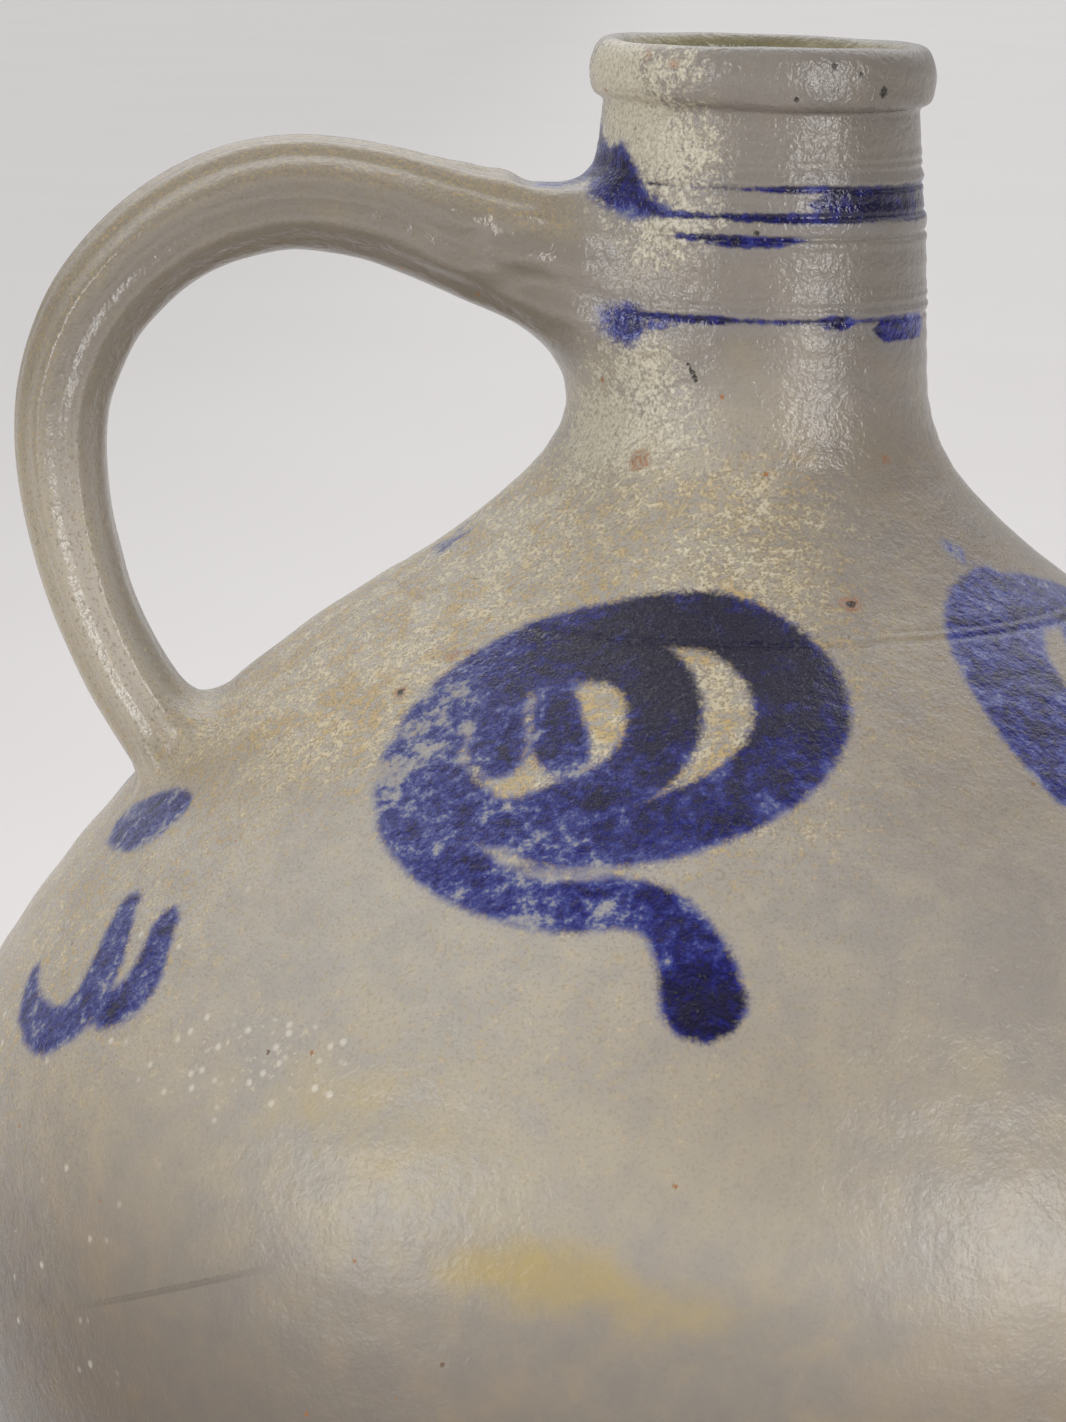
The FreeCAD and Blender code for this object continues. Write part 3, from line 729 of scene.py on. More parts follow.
def split_pieces(p, quads):
    """The blended mesh cut by two planes into joint, strap and joint, each closed by a cap."""
    base = bpy.data.meshes.new("handle_all")
    base.from_pydata(p.tolist(), [], quads.tolist())
    base.update()
    cut_a = int(np.argmin(np.abs(CL_LEN - 38.0)))
    cut_b = int(np.argmin(np.abs(CL_LEN - (TOTAL - 36.0))))
    pieces = []
    for name, want in (("upper_joint_clay", 0), ("strap_handle_pulled", 1), ("lower_joint_clay", 2)):
        bm = bmesh.new()
        bm.from_mesh(base)
        for which, idx in ((0, cut_a), (1, cut_b)):
            co = Vector((-CLS[idx], 0.0, CLZ[idx]))
            no = Vector((-_t[idx, 0], 0.0, _t[idx, 1]))
            # a plane cuts the ring twice; only the part near this cut is taken
            geom = [f for f in bm.faces if near_cut(f, co, 32.0)]
            edges = {e for f in geom for e in f.edges}
            verts = {v for f in geom for v in f.verts}
            bmesh.ops.bisect_plane(bm, geom=list(verts) + list(edges) + geom, plane_co=co, plane_no=no, dist=1e-5)
        bm.faces.ensure_lookup_table()
        cents = np.array([f.calc_center_median()[:] for f in bm.faces])
        ln, _n, _th, _wd = along_strap(-cents[:, 0], cents[:, 2])
        a_co = np.array([-CLS[cut_a], 0.0, CLZ[cut_a]])
        a_no = np.array([-_t[cut_a, 0], 0.0, _t[cut_a, 1]])
        b_co = np.array([-CLS[cut_b], 0.0, CLZ[cut_b]])
        b_no = np.array([-_t[cut_b, 0], 0.0, _t[cut_b, 1]])
        side_a = (cents - a_co) @ a_no
        side_b = (cents - b_co) @ b_no
        is_up = (side_a < 0) & (ln < TOTAL * 0.5)
        is_low = (side_b > 0) & (ln > TOTAL * 0.5)
        group = np.where(is_up, 0, np.where(is_low, 2, 1))
        drop = [f for f, g in zip(bm.faces, group) if g != want]
        bmesh.ops.delete(bm, geom=drop, context="FACES")
        bmesh.ops.delete(bm, geom=[v for v in bm.verts if not v.link_faces], context="VERTS")
        bmesh.ops.holes_fill(bm, edges=[e for e in bm.edges if e.is_boundary], sides=0)
        bmesh.ops.recalc_face_normals(bm, faces=bm.faces)
        caps = [f for f in bm.faces if len(f.verts) > 4]
        bmesh.ops.triangulate(bm, faces=caps)
        me = bpy.data.meshes.new(name)
        bm.to_mesh(me)
        bm.free()
        v = np.empty(len(me.vertices) * 3)
        me.vertices.foreach_get("co", v)
        v = v.reshape(-1, 3)
        me.vertices.foreach_set("co", (v * MM).ravel())
        me.polygons.foreach_set("use_smooth", np.ones(len(me.polygons), bool))
        me.update()
        ob = bpy.data.objects.new(name, me)
        bpy.context.scene.collection.objects.link(ob)
        pieces.append((ob, v))
    bpy.data.meshes.remove(base)
    return pieces


def near_cut(face, co, radius):
    return any((v.co - co).length < radius for v in face.verts)


def skin_normals(ob, v):
    """Vertex normals from the field, so that neighbouring pieces shade as one surface. Caps keep their own."""
    f, g, vis = grad(v)
    g /= np.linalg.norm(g, axis=1)[:, None] + 1e-9
    # where the clay runs out on the wall, use the wall's own normal
    fx, ds, db, k, ln, psi = field(v[:, 0], v[:, 1], v[:, 2])
    me = ob.data
    own = np.empty(len(me.vertices) * 3)
    me.vertices.foreach_get("normal", own)
    own = own.reshape(-1, 3)
    ok = (vis > 0.5) & (np.abs(f) < 0.2)
    n = np.where(ok[:, None], g, own)
    me.normals_split_custom_set_from_vertices(n.tolist())


# =============================================================== attributes shared by every piece
def paint_attributes(ob, v, hmix, hvec, inner=None, bare=None):
    x, y, z = v[:, 0], v[:, 1], v[:, 2]
    phi = np.arctan2(x, -y)
    deg = np.degrees(phi)
    r = np.hypot(x, y)
    zero = np.zeros(len(v))
    inner = zero if inner is None else inner
    bare = zero if bare is None else bare
    off_wall = np.where(z < 372.0, np.abs(r - wall_r(np.minimum(z, 372.0))) / np.sqrt(1 + wall_slope(z) ** 2), 9.0)
    off_wall = np.where(inner > 0.5, 50.0, off_wall)
    lift = sstep(1.0, 5.0, off_wall) * 40.0
    a, la = stroke_field(SET_OUT, deg, z)
    b, lb = stroke_field(SET_IN, deg, z)
    a, b = a + lift, b + lift
    neck = neck_line_field(deg, z)
    neck = np.where((z > 325.0) & (z < 366.0) & (off_wall < 1.2), neck, 30.0)
    fade = sstep(34.0, 44.0, np.abs((deg + 90.0 + 180.0) % 360.0 - 180.0))
    neck = neck + (1.0 - fade) * 4.0
    smear = smear_field(v)
    # load of colour: thick where the brush was full, thin and broken where it ran dry
    dens = 0.50 + 0.0 * z
    dens = dens + 0.52 * np.exp(-((((deg + 12.0) / 24.0) ** 2) + ((z - 277.0) / 9.0) ** 2))
    dens = dens - 0.46 * np.exp(-((((deg + 44.5) / 8.0) ** 2) + ((z - 258.0) / 18.0) ** 2))
    dens = dens - 0.16 * np.exp(-((((deg + 30.0) / 10.0) ** 2) + ((z - 246.0) / 8.0) ** 2))
    dens = dens + 0.50 * np.exp(-((((deg + 7.9) / 3.6) ** 2) + ((z - 225.0) / 6.0) ** 2))
    dens = dens + 0.16 * np.exp(-((((deg - 1.0) / 7.0) ** 2) + ((z - 268.0) / 10.0) ** 2))
    dens = dens + 0.22 * np.exp(-((((deg + 15.0) / 5.0) ** 2) + ((z - 267.0) / 10.0) ** 2))
    dens = dens - 0.22 * np.exp(-((((deg + 21.0) / 8.0) ** 2) + ((z - 239.0) / 4.5) ** 2))
    dens = dens + 0.10 * (z > 240.0) + 0.18 * np.exp(-((((deg + 34.0) / 3.0) ** 2) + ((z - 261.0) / 5.0) ** 2))
    dens = dens + 0.22 * np.exp(-((((deg + 27.5) / 2.6) ** 2) + ((z - 263.5) / 5.0) ** 2))
    dens = dens - 0.16 * np.exp(-((((deg + 18.0) / 9.0) ** 2) + ((z - 248.0) / 3.5) ** 2))
    load = np.where(a < b, la, lb)
    dens = dens * (0.35 + 0.65 * np.clip(load, 0.0, 1.0))
    dens = np.where((neck < a) & (neck < b), 0.80 + 0.30 * (z > 350.0) * sstep(12.0, 26.0, deg) * (1 - sstep(120.0, 175.0, deg)), dens)
    dens = np.where((smear < a) & (smear < b) & (smear < neck), 0.66, dens)
    set_attr(ob, "paint", np.clip(a, -12, 30))
    set_attr(ob, "paint_in", np.clip(np.minimum(b, smear), -12, 30))
    set_attr(ob, "paint_line", np.clip(neck, -4, 10))
    set_attr(ob, "load", np.clip(dens, 0.0, 1.2))
    # buff speckle: shoulder, the left flank, the neck's foot
    och = 0.92 * sstep(226.0, 262.0, z) * (1 - sstep(300.0, 324.0, z))
    och = np.maximum(och, 0.58 * sstep(-34.0, -62.0, deg) * sstep(-178.0, -130.0, deg) * sstep(130.0, 215.0, z) * (1 - sstep(309.0, 330.0, z)))
    och = np.maximum(och, 0.34 * sstep(140.0, 220.0, z) * (1 - sstep(309.0, 330.0, z)))
    och = och * (1.0 - 0.42 * sstep(2.0, 24.0, deg) * (1 - sstep(70.0, 110.0, deg)))
    och = och + 0.26 * np.exp(-(((deg + 66.0) / 22.0) ** 2 + ((z - 262.0) / 24.0) ** 2))
    och = och + 0.30 * sstep(-60.0, -76.0, deg) * sstep(-125.0, -100.0, deg) * sstep(110.0, 150.0, z) * (1 - sstep(215.0, 250.0, z))
    och = och + 0.20 * sstep(-44.0, -60.0, deg) * sstep(-110.0, -90.0, deg) * sstep(190.0, 222.0, z) * (1 - sstep(285.0, 305.0, z))
    och = och * (1.0 - 0.45 * np.exp(-(((deg - 8.0) / 13.0) ** 2 + ((z - 258.0) / 16.0) ** 2)))
    och = och * (0.85 + 0.25 * wnoise(phi, z / 30.0, 31, wrap=3.0))
    och = np.clip(och * (1.0 - 0.8 * hmix) + 0.10 * hmix, 0, 1)
    set_attr(ob, "ochre", och)
    # cream bloom on the side that faced the flame: neck and rim left, patches on the neck's foot
    def blob(d0, z0, sd, sz, amp=1.0):
        dd = (deg - d0 + 180.0) % 360.0 - 180.0
        return amp * np.exp(-((dd / sd) ** 2 + ((z - z0) / sz) ** 2))
    cr = blob(-62, 368, 30, 12, 1.0) + blob(-68, 380, 19, 7, 0.95) + blob(-34, 381.5, 9, 3, 0.5) + blob(-34, 362, 14, 8, 0.55) + blob(-40, 347, 16, 5, 0.55)
    cr = cr + blob(-30, 352, 20, 3.0, 0.4) + blob(-46, 325, 16, 7, 0.62) + blob(-60, 309, 24, 10, 0.85) + blob(-30, 312, 20, 8, 0.35)
    cr = cr + blob(0, 297, 30, 7, 0.35) + blob(-12, 290, 16, 4, 0.38) + blob(150, 350, 40, 26, 0.7) + blob(200, 300, 40, 16, 0.5)
    cr = cr + 0.30 * np.exp(-(((x + 44.0) / 8.0) ** 2 + ((y + 14.0) / 8.0) ** 2 + ((z - 352.0) / 7.0) ** 2))
    cr = cr * (1.0 - sstep(0.15, 0.6, hmix))
    set_attr(ob, "cream", np.clip(cr, 0, 1))
    # broad darker and warmer areas: partly the firing's own tone, partly painted shade on the neck's foot, the right
    # side, the lower body and the strap towards the neck
    tone_and_painted_shade = 0.74 * sstep(306.0, 332.0, z) * (0.45 + 0.55 * np.maximum(sstep(-64.0, -14.0, deg), sstep(-100.0, -140.0, deg)))
    tone_and_painted_shade = tone_and_painted_shade + 0.52 * sstep(-2.0, 38.0, deg) * sstep(225.0, 300.0, z) * (1 - sstep(120.0, 160.0, deg))
    tone_and_painted_shade = tone_and_painted_shade + 0.82 * (1 - sstep(118.0, 190.0, z))
    tone_and_painted_shade = tone_and_painted_shade + 0.50 * sstep(-22.0, -66.0, deg) * sstep(-178.0, -130.0, deg) * (1 - sstep(150.0, 215.0, z))
    tone_and_painted_shade = tone_and_painted_shade + 0.16 * blob(40.0, 190.0, 30, 30) + 0.12 * blob(-5, 215, 20, 12) + 0.10 * sstep(250.0, 300.0, z)
    # painted shade round the upper joint, where strap and neck meet
    near = np.exp(-(((x + 34.0) / 12.0) ** 2 + ((np.abs(y) - 10.0) / 14.0) ** 2 + ((z - 340.0) / 14.0) ** 2))
    # lighter in a narrow column on the neck's front: a painted highlight
    tone_and_painted_shade = tone_and_painted_shade * (1.0 - 0.34 * np.exp(-(((deg - 11.0) / 9.0) ** 2 + ((z - 329.0) / 14.0) ** 2)))
    tone_and_painted_shade = (tone_and_painted_shade + 0.40 * near) * (1.0 - hmix)
    # the strap painted darker towards the neck: painted shade
    tone_and_painted_shade = tone_and_painted_shade + hmix * (0.06 + 0.60 * sstep(280.0, 335.0, z))
    set_attr(ob, "tone_and_painted_shade", np.clip(tone_and_painted_shade, 0, 1))
    # painted shade: the right of the shoulder and neck, the lower body and some patches on the front
    side = sstep(-25.0, 18.0, deg) * (1 - sstep(95.0, 135.0, deg))
    shade = 0.66 * side * sstep(238.0, 262.0, z) * (1 - sstep(306.0, 322.0, z))
    shade = shade + 0.34 * sstep(-22.0, 0.0, deg) * (1 - sstep(95.0, 135.0, deg)) * (1 - sstep(238.0, 262.0, z)) * sstep(182.0, 200.0, z)
    back = sstep(80.0, 125.0, np.abs((deg + 8.0 + 180.0) % 360.0 - 180.0))
    zb = z + back * 10.0 * wnoise(phi, z / 60.0, 71, 6, wrap=2.0)
    shade = shade + 0.84 * (1 - sstep(150.0 - 62.0 * back, 198.0 + 24.0 * back, zb)) * (0.62 + 0.38 * np.maximum(sstep(-62.0, -25.0, deg), sstep(-120.0, -175.0, deg)))
    shade = shade + 0.30 * sstep(18.0, 34.0, deg) * (1 - sstep(120.0, 150.0, deg)) * sstep(322.0, 330.0, z)
    shade = shade + 0.22 * wnoise(phi, z / 45.0, 61, 5, wrap=2.0) * sstep(60.0, 110.0, np.abs(deg + 10.0))
    shade = shade + 0.20 * blob(-40.0, 180.0, 20, 26) + 0.24 * blob(-10.0, 176.0, 18, 12) + 0.26 * blob(21.0, 236.0, 12, 26) + 0.40 * blob(51.0, 289.0, 12, 8)
    # painted shade under the rolled rim
    shade = shade + 0.22 * sstep(370.5, 372.5, z) * (1 - sstep(376.0, 379.0, z)) * sstep(-60.0, -35.0, deg) * (1 - sstep(120.0, 175.0, deg))
    set_attr(ob, "shade", np.clip(shade * (1.0 - hmix), 0, 1))
    st = blob(-17.4, 183.5, 4.2, 4.6, 0.92) + blob(-13.0, 180.0, 7.0, 5.0, 0.45) + blob(-7.0, 176.0, 8.0, 5.5, 0.34) + blob(-21.0, 182.5, 5.0, 4.0, 0.4)
    st = st + blob(-28.0, 195.0, 10.0, 17.0, 0.32) + blob(-35.0, 206.0, 10.0, 10.0, 0.22) + blob(130, 150, 16, 12, 0.35)
    calm = sstep(-66.0, -48.0, deg) * (1 - sstep(60.0, 90.0, deg)) * (1 - sstep(185.0, 285.0, z))
    set_attr(ob, "crisp", 1.0 - 0.5 * calm)
    set_attr(ob, "neck", sstep(296.0, 326.0, z))
    # a slanting tool mark on the left flank
    set_attr(ob, "cut", np.clip((z - 153.9 - 1.083 * (deg + 56.4)) * 0.93, -9, 9))
    set_attr(ob, "cut_on", sstep(-57.5, -48.0, deg) * (1 - sstep(-42.0, -35.0, deg)) * (off_wall < 2.0))
    set_attr(ob, "tan", sstep(-32.0, -56.0, deg) * sstep(-125.0, -95.0, deg) * sstep(105.0, 145.0, z) * (1 - sstep(245.0, 285.0, z)) * (1.0 - hmix))
    set_attr(ob, "stain", np.clip(st, 0, 1))
    salt = blob(-41.0, 209.0, 5.0, 6.0, 0.9) + blob(-47.0, 206.0, 9.0, 11.0, 0.42) + 0.13 * sstep(-42.0, -56.0, deg) * sstep(-120.0, -95.0, deg) * sstep(120.0, 150.0, z) * (1 - sstep(225.0, 255.0, z))
    set_attr(ob, "salt", np.clip(salt, 0, 1))
    set_attr(ob, "strap_mix", hmix)
    set_vec(ob, "strap_vec", hvec)
    set_attr(ob, "inside", inner)
    set_attr(ob, "bare", bare)


# =============================================================== node helper
class Graph:
    def __init__(self, name):
        self.mat = bpy.data.materials.new(name)
        self.mat.use_nodes = True
        self.t = self.mat.node_tree
        self.t.nodes.clear()
        self.out = self.t.nodes.new("ShaderNodeOutputMaterial")
        self.bsdf = self.t.nodes.new("ShaderNodeBsdfPrincipled")
        self.t.links.new(self.bsdf.outputs["BSDF"], self.out.inputs["Surface"])

    def put(self, socket, value):
        if isinstance(value, bpy.types.NodeSocket):
            self.t.links.new(value, socket)
        elif value is not None:
            socket.default_value = value

    def math(self, op, a, b=None, c=None, clamp=False):
        n = self.t.nodes.new("ShaderNodeMath")
        n.operation = op
        n.use_clamp = clamp
        for i, v in enumerate((a, b, c)):
            if v is not None:
                self.put(n.inputs[i], v)
        return n.outputs[0]

    def add(self, a, b):
        return self.math("ADD", a, b)

    def sub(self, a, b):
        return self.math("SUBTRACT", a, b)

    def mul(self, a, b):
        return self.math("MULTIPLY", a, b)

    def step(self, v, lo, hi, out_lo=0.0, out_hi=1.0):
        n = self.t.nodes.new("ShaderNodeMapRange")
        n.interpolation_type = "SMOOTHSTEP"
        self.put(n.inputs["Value"], v)
        n.inputs["From Min"].default_value = lo
        n.inputs["From Max"].default_value = hi
        n.inputs["To Min"].default_value = out_lo
        n.inputs["To Max"].default_value = out_hi
        return n.outputs["Result"]

    def mix(self, fac, a, b):
        n = self.t.nodes.new("ShaderNodeMix")
        n.data_type = "RGBA"
        self.put(n.inputs["Factor"], fac)
        self.put(n.inputs["A"] if False else n.inputs[6], a)
        self.put(n.inputs[7], b)
        return n.outputs[2]

    def times(self, a, b):
        n = self.t.nodes.new("ShaderNodeVectorMath")
        n.operation = "MULTIPLY"
        self.put(n.inputs[0], a)
        n.inputs[1].default_value = b
        return n.outputs[0]

    def mixf(self, fac, a, b):
        n = self.t.nodes.new("ShaderNodeMix")
        n.data_type = "FLOAT"
        self.put(n.inputs[0], fac)
        self.put(n.inputs[2], a)
        self.put(n.inputs[3], b)
        return n.outputs[0]

    def attr(self, name, vector=False):
        n = self.t.nodes.new("ShaderNodeAttribute")
        n.attribute_name = name
        return n.outputs["Vector"] if vector else n.outputs["Fac"]

    def noise(self, vec, scale, detail=2.0, rough=0.5, dist=0.0):
        n = self.t.nodes.new("ShaderNodeTexNoise")
        self.put(n.inputs["Vector"], vec)
        n.inputs["Scale"].default_value = scale
        n.inputs["Detail"].default_value = detail
        n.inputs["Roughness"].default_value = rough
        n.inputs["Distortion"].default_value = dist
        return n.outputs["Fac"]

    def voronoi(self, vec, scale, feature="F1", smooth=None, rand=1.0):
        n = self.t.nodes.new("ShaderNodeTexVoronoi")
        n.feature = feature
        self.put(n.inputs["Vector"], vec)
        n.inputs["Scale"].default_value = scale
        n.inputs["Randomness"].default_value = rand
        if smooth is not None and "Smoothness" in n.inputs:
            n.inputs["Smoothness"].default_value = smooth
        return n

    def scaled(self, vec, x, y, z):
        n = self.t.nodes.new("ShaderNodeVectorMath")
        n.operation = "MULTIPLY"
        self.put(n.inputs[0], vec)
        n.inputs[1].default_value = (x, y, z)
        return n.outputs[0]

    def shifted_by(self, vec, fac, amount=5.0):
        n = self.t.nodes.new("ShaderNodeVectorMath")
        n.operation = "ADD"
        self.put(n.inputs[0], vec)
        k = self.t.nodes.new("ShaderNodeCombineXYZ")
        self.put(k.inputs[0], self.mul(fac, amount))
        self.put(k.inputs[2], self.mul(fac, -amount))
        self.put(n.inputs[1], k.outputs[0])
        return n.outputs[0]

    def shifted(self, vec, amount, by):
        """vec + (by - 0.5) * amount, for a warped lookup."""
        n = self.t.nodes.new("ShaderNodeVectorMath")
        n.operation = "MULTIPLY_ADD"
        self.put(n.inputs[0], by)
        n.inputs[1].default_value = (amount, amount, amount)
        self.put(n.inputs[2], vec)
        return n.outputs[0]

    def bump(self, height, distance, strength=1.0, normal=None):
        n = self.t.nodes.new("ShaderNodeBump")
        n.inputs["Strength"].default_value = strength
        n.inputs["Distance"].default_value = distance
        self.put(n.inputs["Height"], height)
        if normal is not None:
            self.put(n.inputs["Normal"], normal)
        return n.outputs["Normal"]


def salt_glaze(name):
    g = Graph(name)
    tc = g.t.nodes.new("ShaderNodeTexCoord")
    P = g.scaled(tc.outputs["Object"], 1000.0, 1000.0, 1000.0)      # millimetres
    zsep = g.t.nodes.new("ShaderNodeSeparateXYZ")
    g.t.links.new(P, zsep.inputs[0])
    height_z = zsep.outputs[2]
    strap = g.attr("strap_mix")
    svec = g.attr("strap_vec", True)
    ochre, cream, tone_and_painted_shade = g.attr("ochre"), g.attr("cream"), g.attr("tone_and_painted_shade")
    stain, salt, shade = g.attr("stain"), g.attr("salt"), g.attr("shade")
    inside, bare = g.attr("inside"), g.attr("bare")

    # --- clay and glaze ground: grey, with soft warm and cool areas
    n_big = g.noise(P, 0.020, 3.0, 0.55, 0.4)
    n_mid = g.noise(P, 0.11, 3.0, 0.60, 0.3)
    n_small = g.noise(P, 0.56, 3.0, 0.62)
    n_grain = g.noise(P, 1.50, 2.0, 0.6)
    warm = g.step(g.add(g.mul(n_big, 0.55), g.mul(n_mid, 0.45)), 0.35, 0.67)
    ground = g.mix(warm, srgb(160, 155, 148), srgb(174, 164, 146))
    ground = g.mix(g.mul(g.step(n_mid, 0.32, 0.74), g.step(g.attr("crisp"), 0.45, 1.0, 0.30, 0.55)), ground, srgb(184, 177, 163))
    ground = g.mix(g.step(g.attr("crisp"), 1.0, 0.45, 0.0, 0.10), ground, srgb(184, 177, 163))
    fine = g.attr("crisp")
    ground = g.mix(g.mul(g.step(n_small, 0.40, 0.70), g.mul(g.step(fine, 0.45, 1.0), 0.20)), ground, srgb(146, 138, 127))
    ground = g.mix(0.12, ground, srgb(146, 138, 127))
    # darker tone of the firing together with painted shade, from the attribute
    ground = g.mix(g.mul(tone_and_painted_shade, 0.92), ground, g.mix(g.mul(warm, g.step(g.attr("neck"), 0.0, 1.0, 1.0, 0.10)), srgb(113, 107, 101), srgb(122, 107, 88)))

    # --- the strap: greyer and browner, faintly streaked along its length
    streak = g.noise(svec, 1.0, 3.0, 0.55, 0.2)
    strap_col = g.mix(g.step(streak, 0.34, 0.68), srgb(150, 143, 132), srgb(160, 153, 142))
    strap_col = g.mix(g.mul(g.step(n_small, 0.50, 0.66), 0.25), strap_col, srgb(158, 147, 122))
    # painted shade on the strap towards the neck and round the joint
    strap_col = g.mix(g.mul(tone_and_painted_shade, 0.9), strap_col, srgb(102, 94, 86))
    ssep = g.t.nodes.new("ShaderNodeSeparateXYZ")
    g.t.links.new(svec, ssep.inputs[0])
    # painted light: the lower strap made lighter
    strap_col = g.mix(g.mul(g.step(height_z, 318.0, 262.0), 0.75), strap_col, srgb(184, 176, 162))
    # painted shade on the strap's inner face, under the arch
    strap_col = g.mix(g.mul(g.step(ssep.outputs[0], -1.3, -4.4), 0.64), strap_col, srgb(106, 98, 87))
    strap_col = g.mix(g.mul(g.step(ssep.outputs[0], 0.6, 3.2), 0.22), strap_col, srgb(166, 150, 112))
    strap_col = g.mix(g.mul(g.mul(g.step(ssep.outputs[0], 0.8, 3.0), g.step(n_grain, 0.54, 0.64)), 0.62), strap_col, srgb(168, 144, 92))
    strap_col = g.mix(g.mul(g.step(n_grain, 0.42, 0.34), 0.40), strap_col, srgb(112, 102, 86))
    ground = g.mix(g.mul(strap, 0.94), ground, strap_col)

    # --- buff and ochre speckle of the salt glaze, 1 to 3 mm, grey between
    lack = g.sub(1.0, ochre)
    thr = g.sub(g.add(g.mul(n_grain, 0.62), g.mul(n_small, 0.58)), g.mul(lack, 0.26))
    specks = g.step(thr, 0.56, 0.66)
    buff = g.step(g.sub(n_small, g.mul(lack, 0.20)), 0.40, 0.58)
    ground = g.mix(g.mul(buff, g.mul(ochre, 0.62)), ground, srgb(188, 166, 120))
    deep = g.step(n_grain, 0.47, 0.36)
    ground = g.mix(g.mul(deep, g.add(g.step(fine, 0.45, 1.0, 0.04, 0.14), g.mul(ochre, 0.42))), ground, srgb(124, 112, 92))
    speck_col = g.mix(g.step(n_mid, 0.42, 0.56), srgb(190, 163, 108), srgb(214, 204, 176))
    ground = g.mix(g.mul(specks, g.add(0.05, g.mul(ochre, 0.66))), ground, speck_col)

    # --- cream bloom with a granular edge
    cr = g.add(cream, g.add(g.mul(g.sub(n_small, 0.5), 2.4), g.mul(g.sub(n_grain, 0.5), 1.5)))
    cr_mask = g.mul(g.step(cr, 0.16, 0.86), g.step(cream, 0.06, 0.30))
    cream_col = g.mix(g.step(n_grain, 0.40, 0.60), srgb(180, 172, 148), srgb(207, 200, 180))
    ground = g.mix(g.mul(cr_mask, 0.80), ground, cream_col)
    green = g.mul(g.step(cr, 0.34, 0.46), g.step(cr, 0.58, 0.46))
    ground = g.mix(g.mul(g.mul(green, g.step(n_grain, 0.48, 0.58)), g.mul(g.step(cream, 0.1, 0.4), 0.55)), ground, srgb(148, 128, 76))

    # --- painted shade: the right side, the lower body, front patches and under the rim made greyer and darker
    ground = g.mix(shade, ground, g.times(ground, (0.585, 0.545, 0.51)))

    ground = g.mix(g.attr("tan"), ground, g.times(ground, (1.02, 0.99, 0.94)))

    # --- stains and salt specks
    st = g.step(g.add(stain, g.mul(g.sub(n_mid, 0.5), 1.1)), 0.0, 1.25)
    ground = g.mix(g.mul(st, 0.70), ground, srgb(170, 148, 84))
    dots = g.mul(g.step(g.add(n_small, g.mul(g.sub(n_grain, 0.5), 0.22)), 0.605, 0.665), g.step(salt, 0.1, 0.9))
    sv = g.voronoi(P, 0.40)
    spick = g.t.nodes.new("ShaderNodeSeparateColor")
    g.t.links.new(sv.outputs["Color"], spick.inputs["Color"])
    keep = g.step(g.sub(spick.outputs["Red"], g.mul(salt, 0.62)), 0.02, -0.02)
    beads = g.mul(g.mul(g.step(g.add(sv.outputs["Distance"], g.mul(g.sub(n_grain, 0.5), 0.28)), 0.42, 0.10), keep), g.step(salt, 0.04, 0.14))
    dots = g.math("MAXIMUM", g.mul(dots, 0.6), beads)
    ground = g.mix(g.mul(dots, 0.62), ground, srgb(214, 207, 192))
    scored = g.mul(g.step(g.math("ABSOLUTE", g.add(g.attr("cut"), g.mul(g.sub(n_grain, 0.5), 0.5))), 0.75, 0.15), g.attr("cut_on"))
    ground = g.mix(g.mul(scored, 0.40), ground, srgb(96, 88, 78))

    # --- iron: dark pits with rust round them, where they came up in the firing
    warp = g.add(g.mul(g.sub(n_grain, 0.5), 2.6), g.mul(g.sub(n_small, 0.5), 2.2))
    rust_d, pit_d = None, None
    for sdeg, sz, rust_r, pit_r in SPOTS:
        nd = g.t.nodes.new("ShaderNodeVectorMath")
        nd.operation = "DISTANCE"
        g.put(nd.inputs[0], P)
        nd.inputs[1].default_value = on_neck(sdeg, sz)
        if rust_r:
            e = g.sub(nd.outputs["Value"], rust_r)
            rust_d = e if rust_d is None else g.math("MINIMUM", rust_d, e)
        if pit_r:
            e = g.sub(nd.outputs["Value"], pit_r)
            pit_d = e if pit_d is None else g.math("MINIMUM", pit_d, e)
    rust = g.mul(g.step(g.add(rust_d, warp), 0.6, -0.5), g.step(n_grain, 0.42, 0.54))
    pit = g.step(g.add(pit_d, g.mul(warp, 0.5)), 0.25, -0.25)
    ground = g.mix(g.mul(rust, 0.70), ground, srgb(146, 84, 34))
    iv = g.voronoi(P, 0.13)
    pick = g.t.nodes.new("ShaderNodeSeparateColor")
    g.t.links.new(iv.outputs["Color"], pick.inputs["Color"])
    tiny = g.mul(g.step(g.add(iv.outputs["Distance"], g.mul(g.sub(n_grain, 0.5), 0.12)), 0.075, 0.045), g.step(pick.outputs["Red"], 0.80, 0.82))
    ground = g.mix(g.mul(tiny, 0.80), ground, g.mix(g.step(pick.outputs["Green"], 0.4, 0.6), srgb(96, 70, 44), srgb(150, 98, 46)))

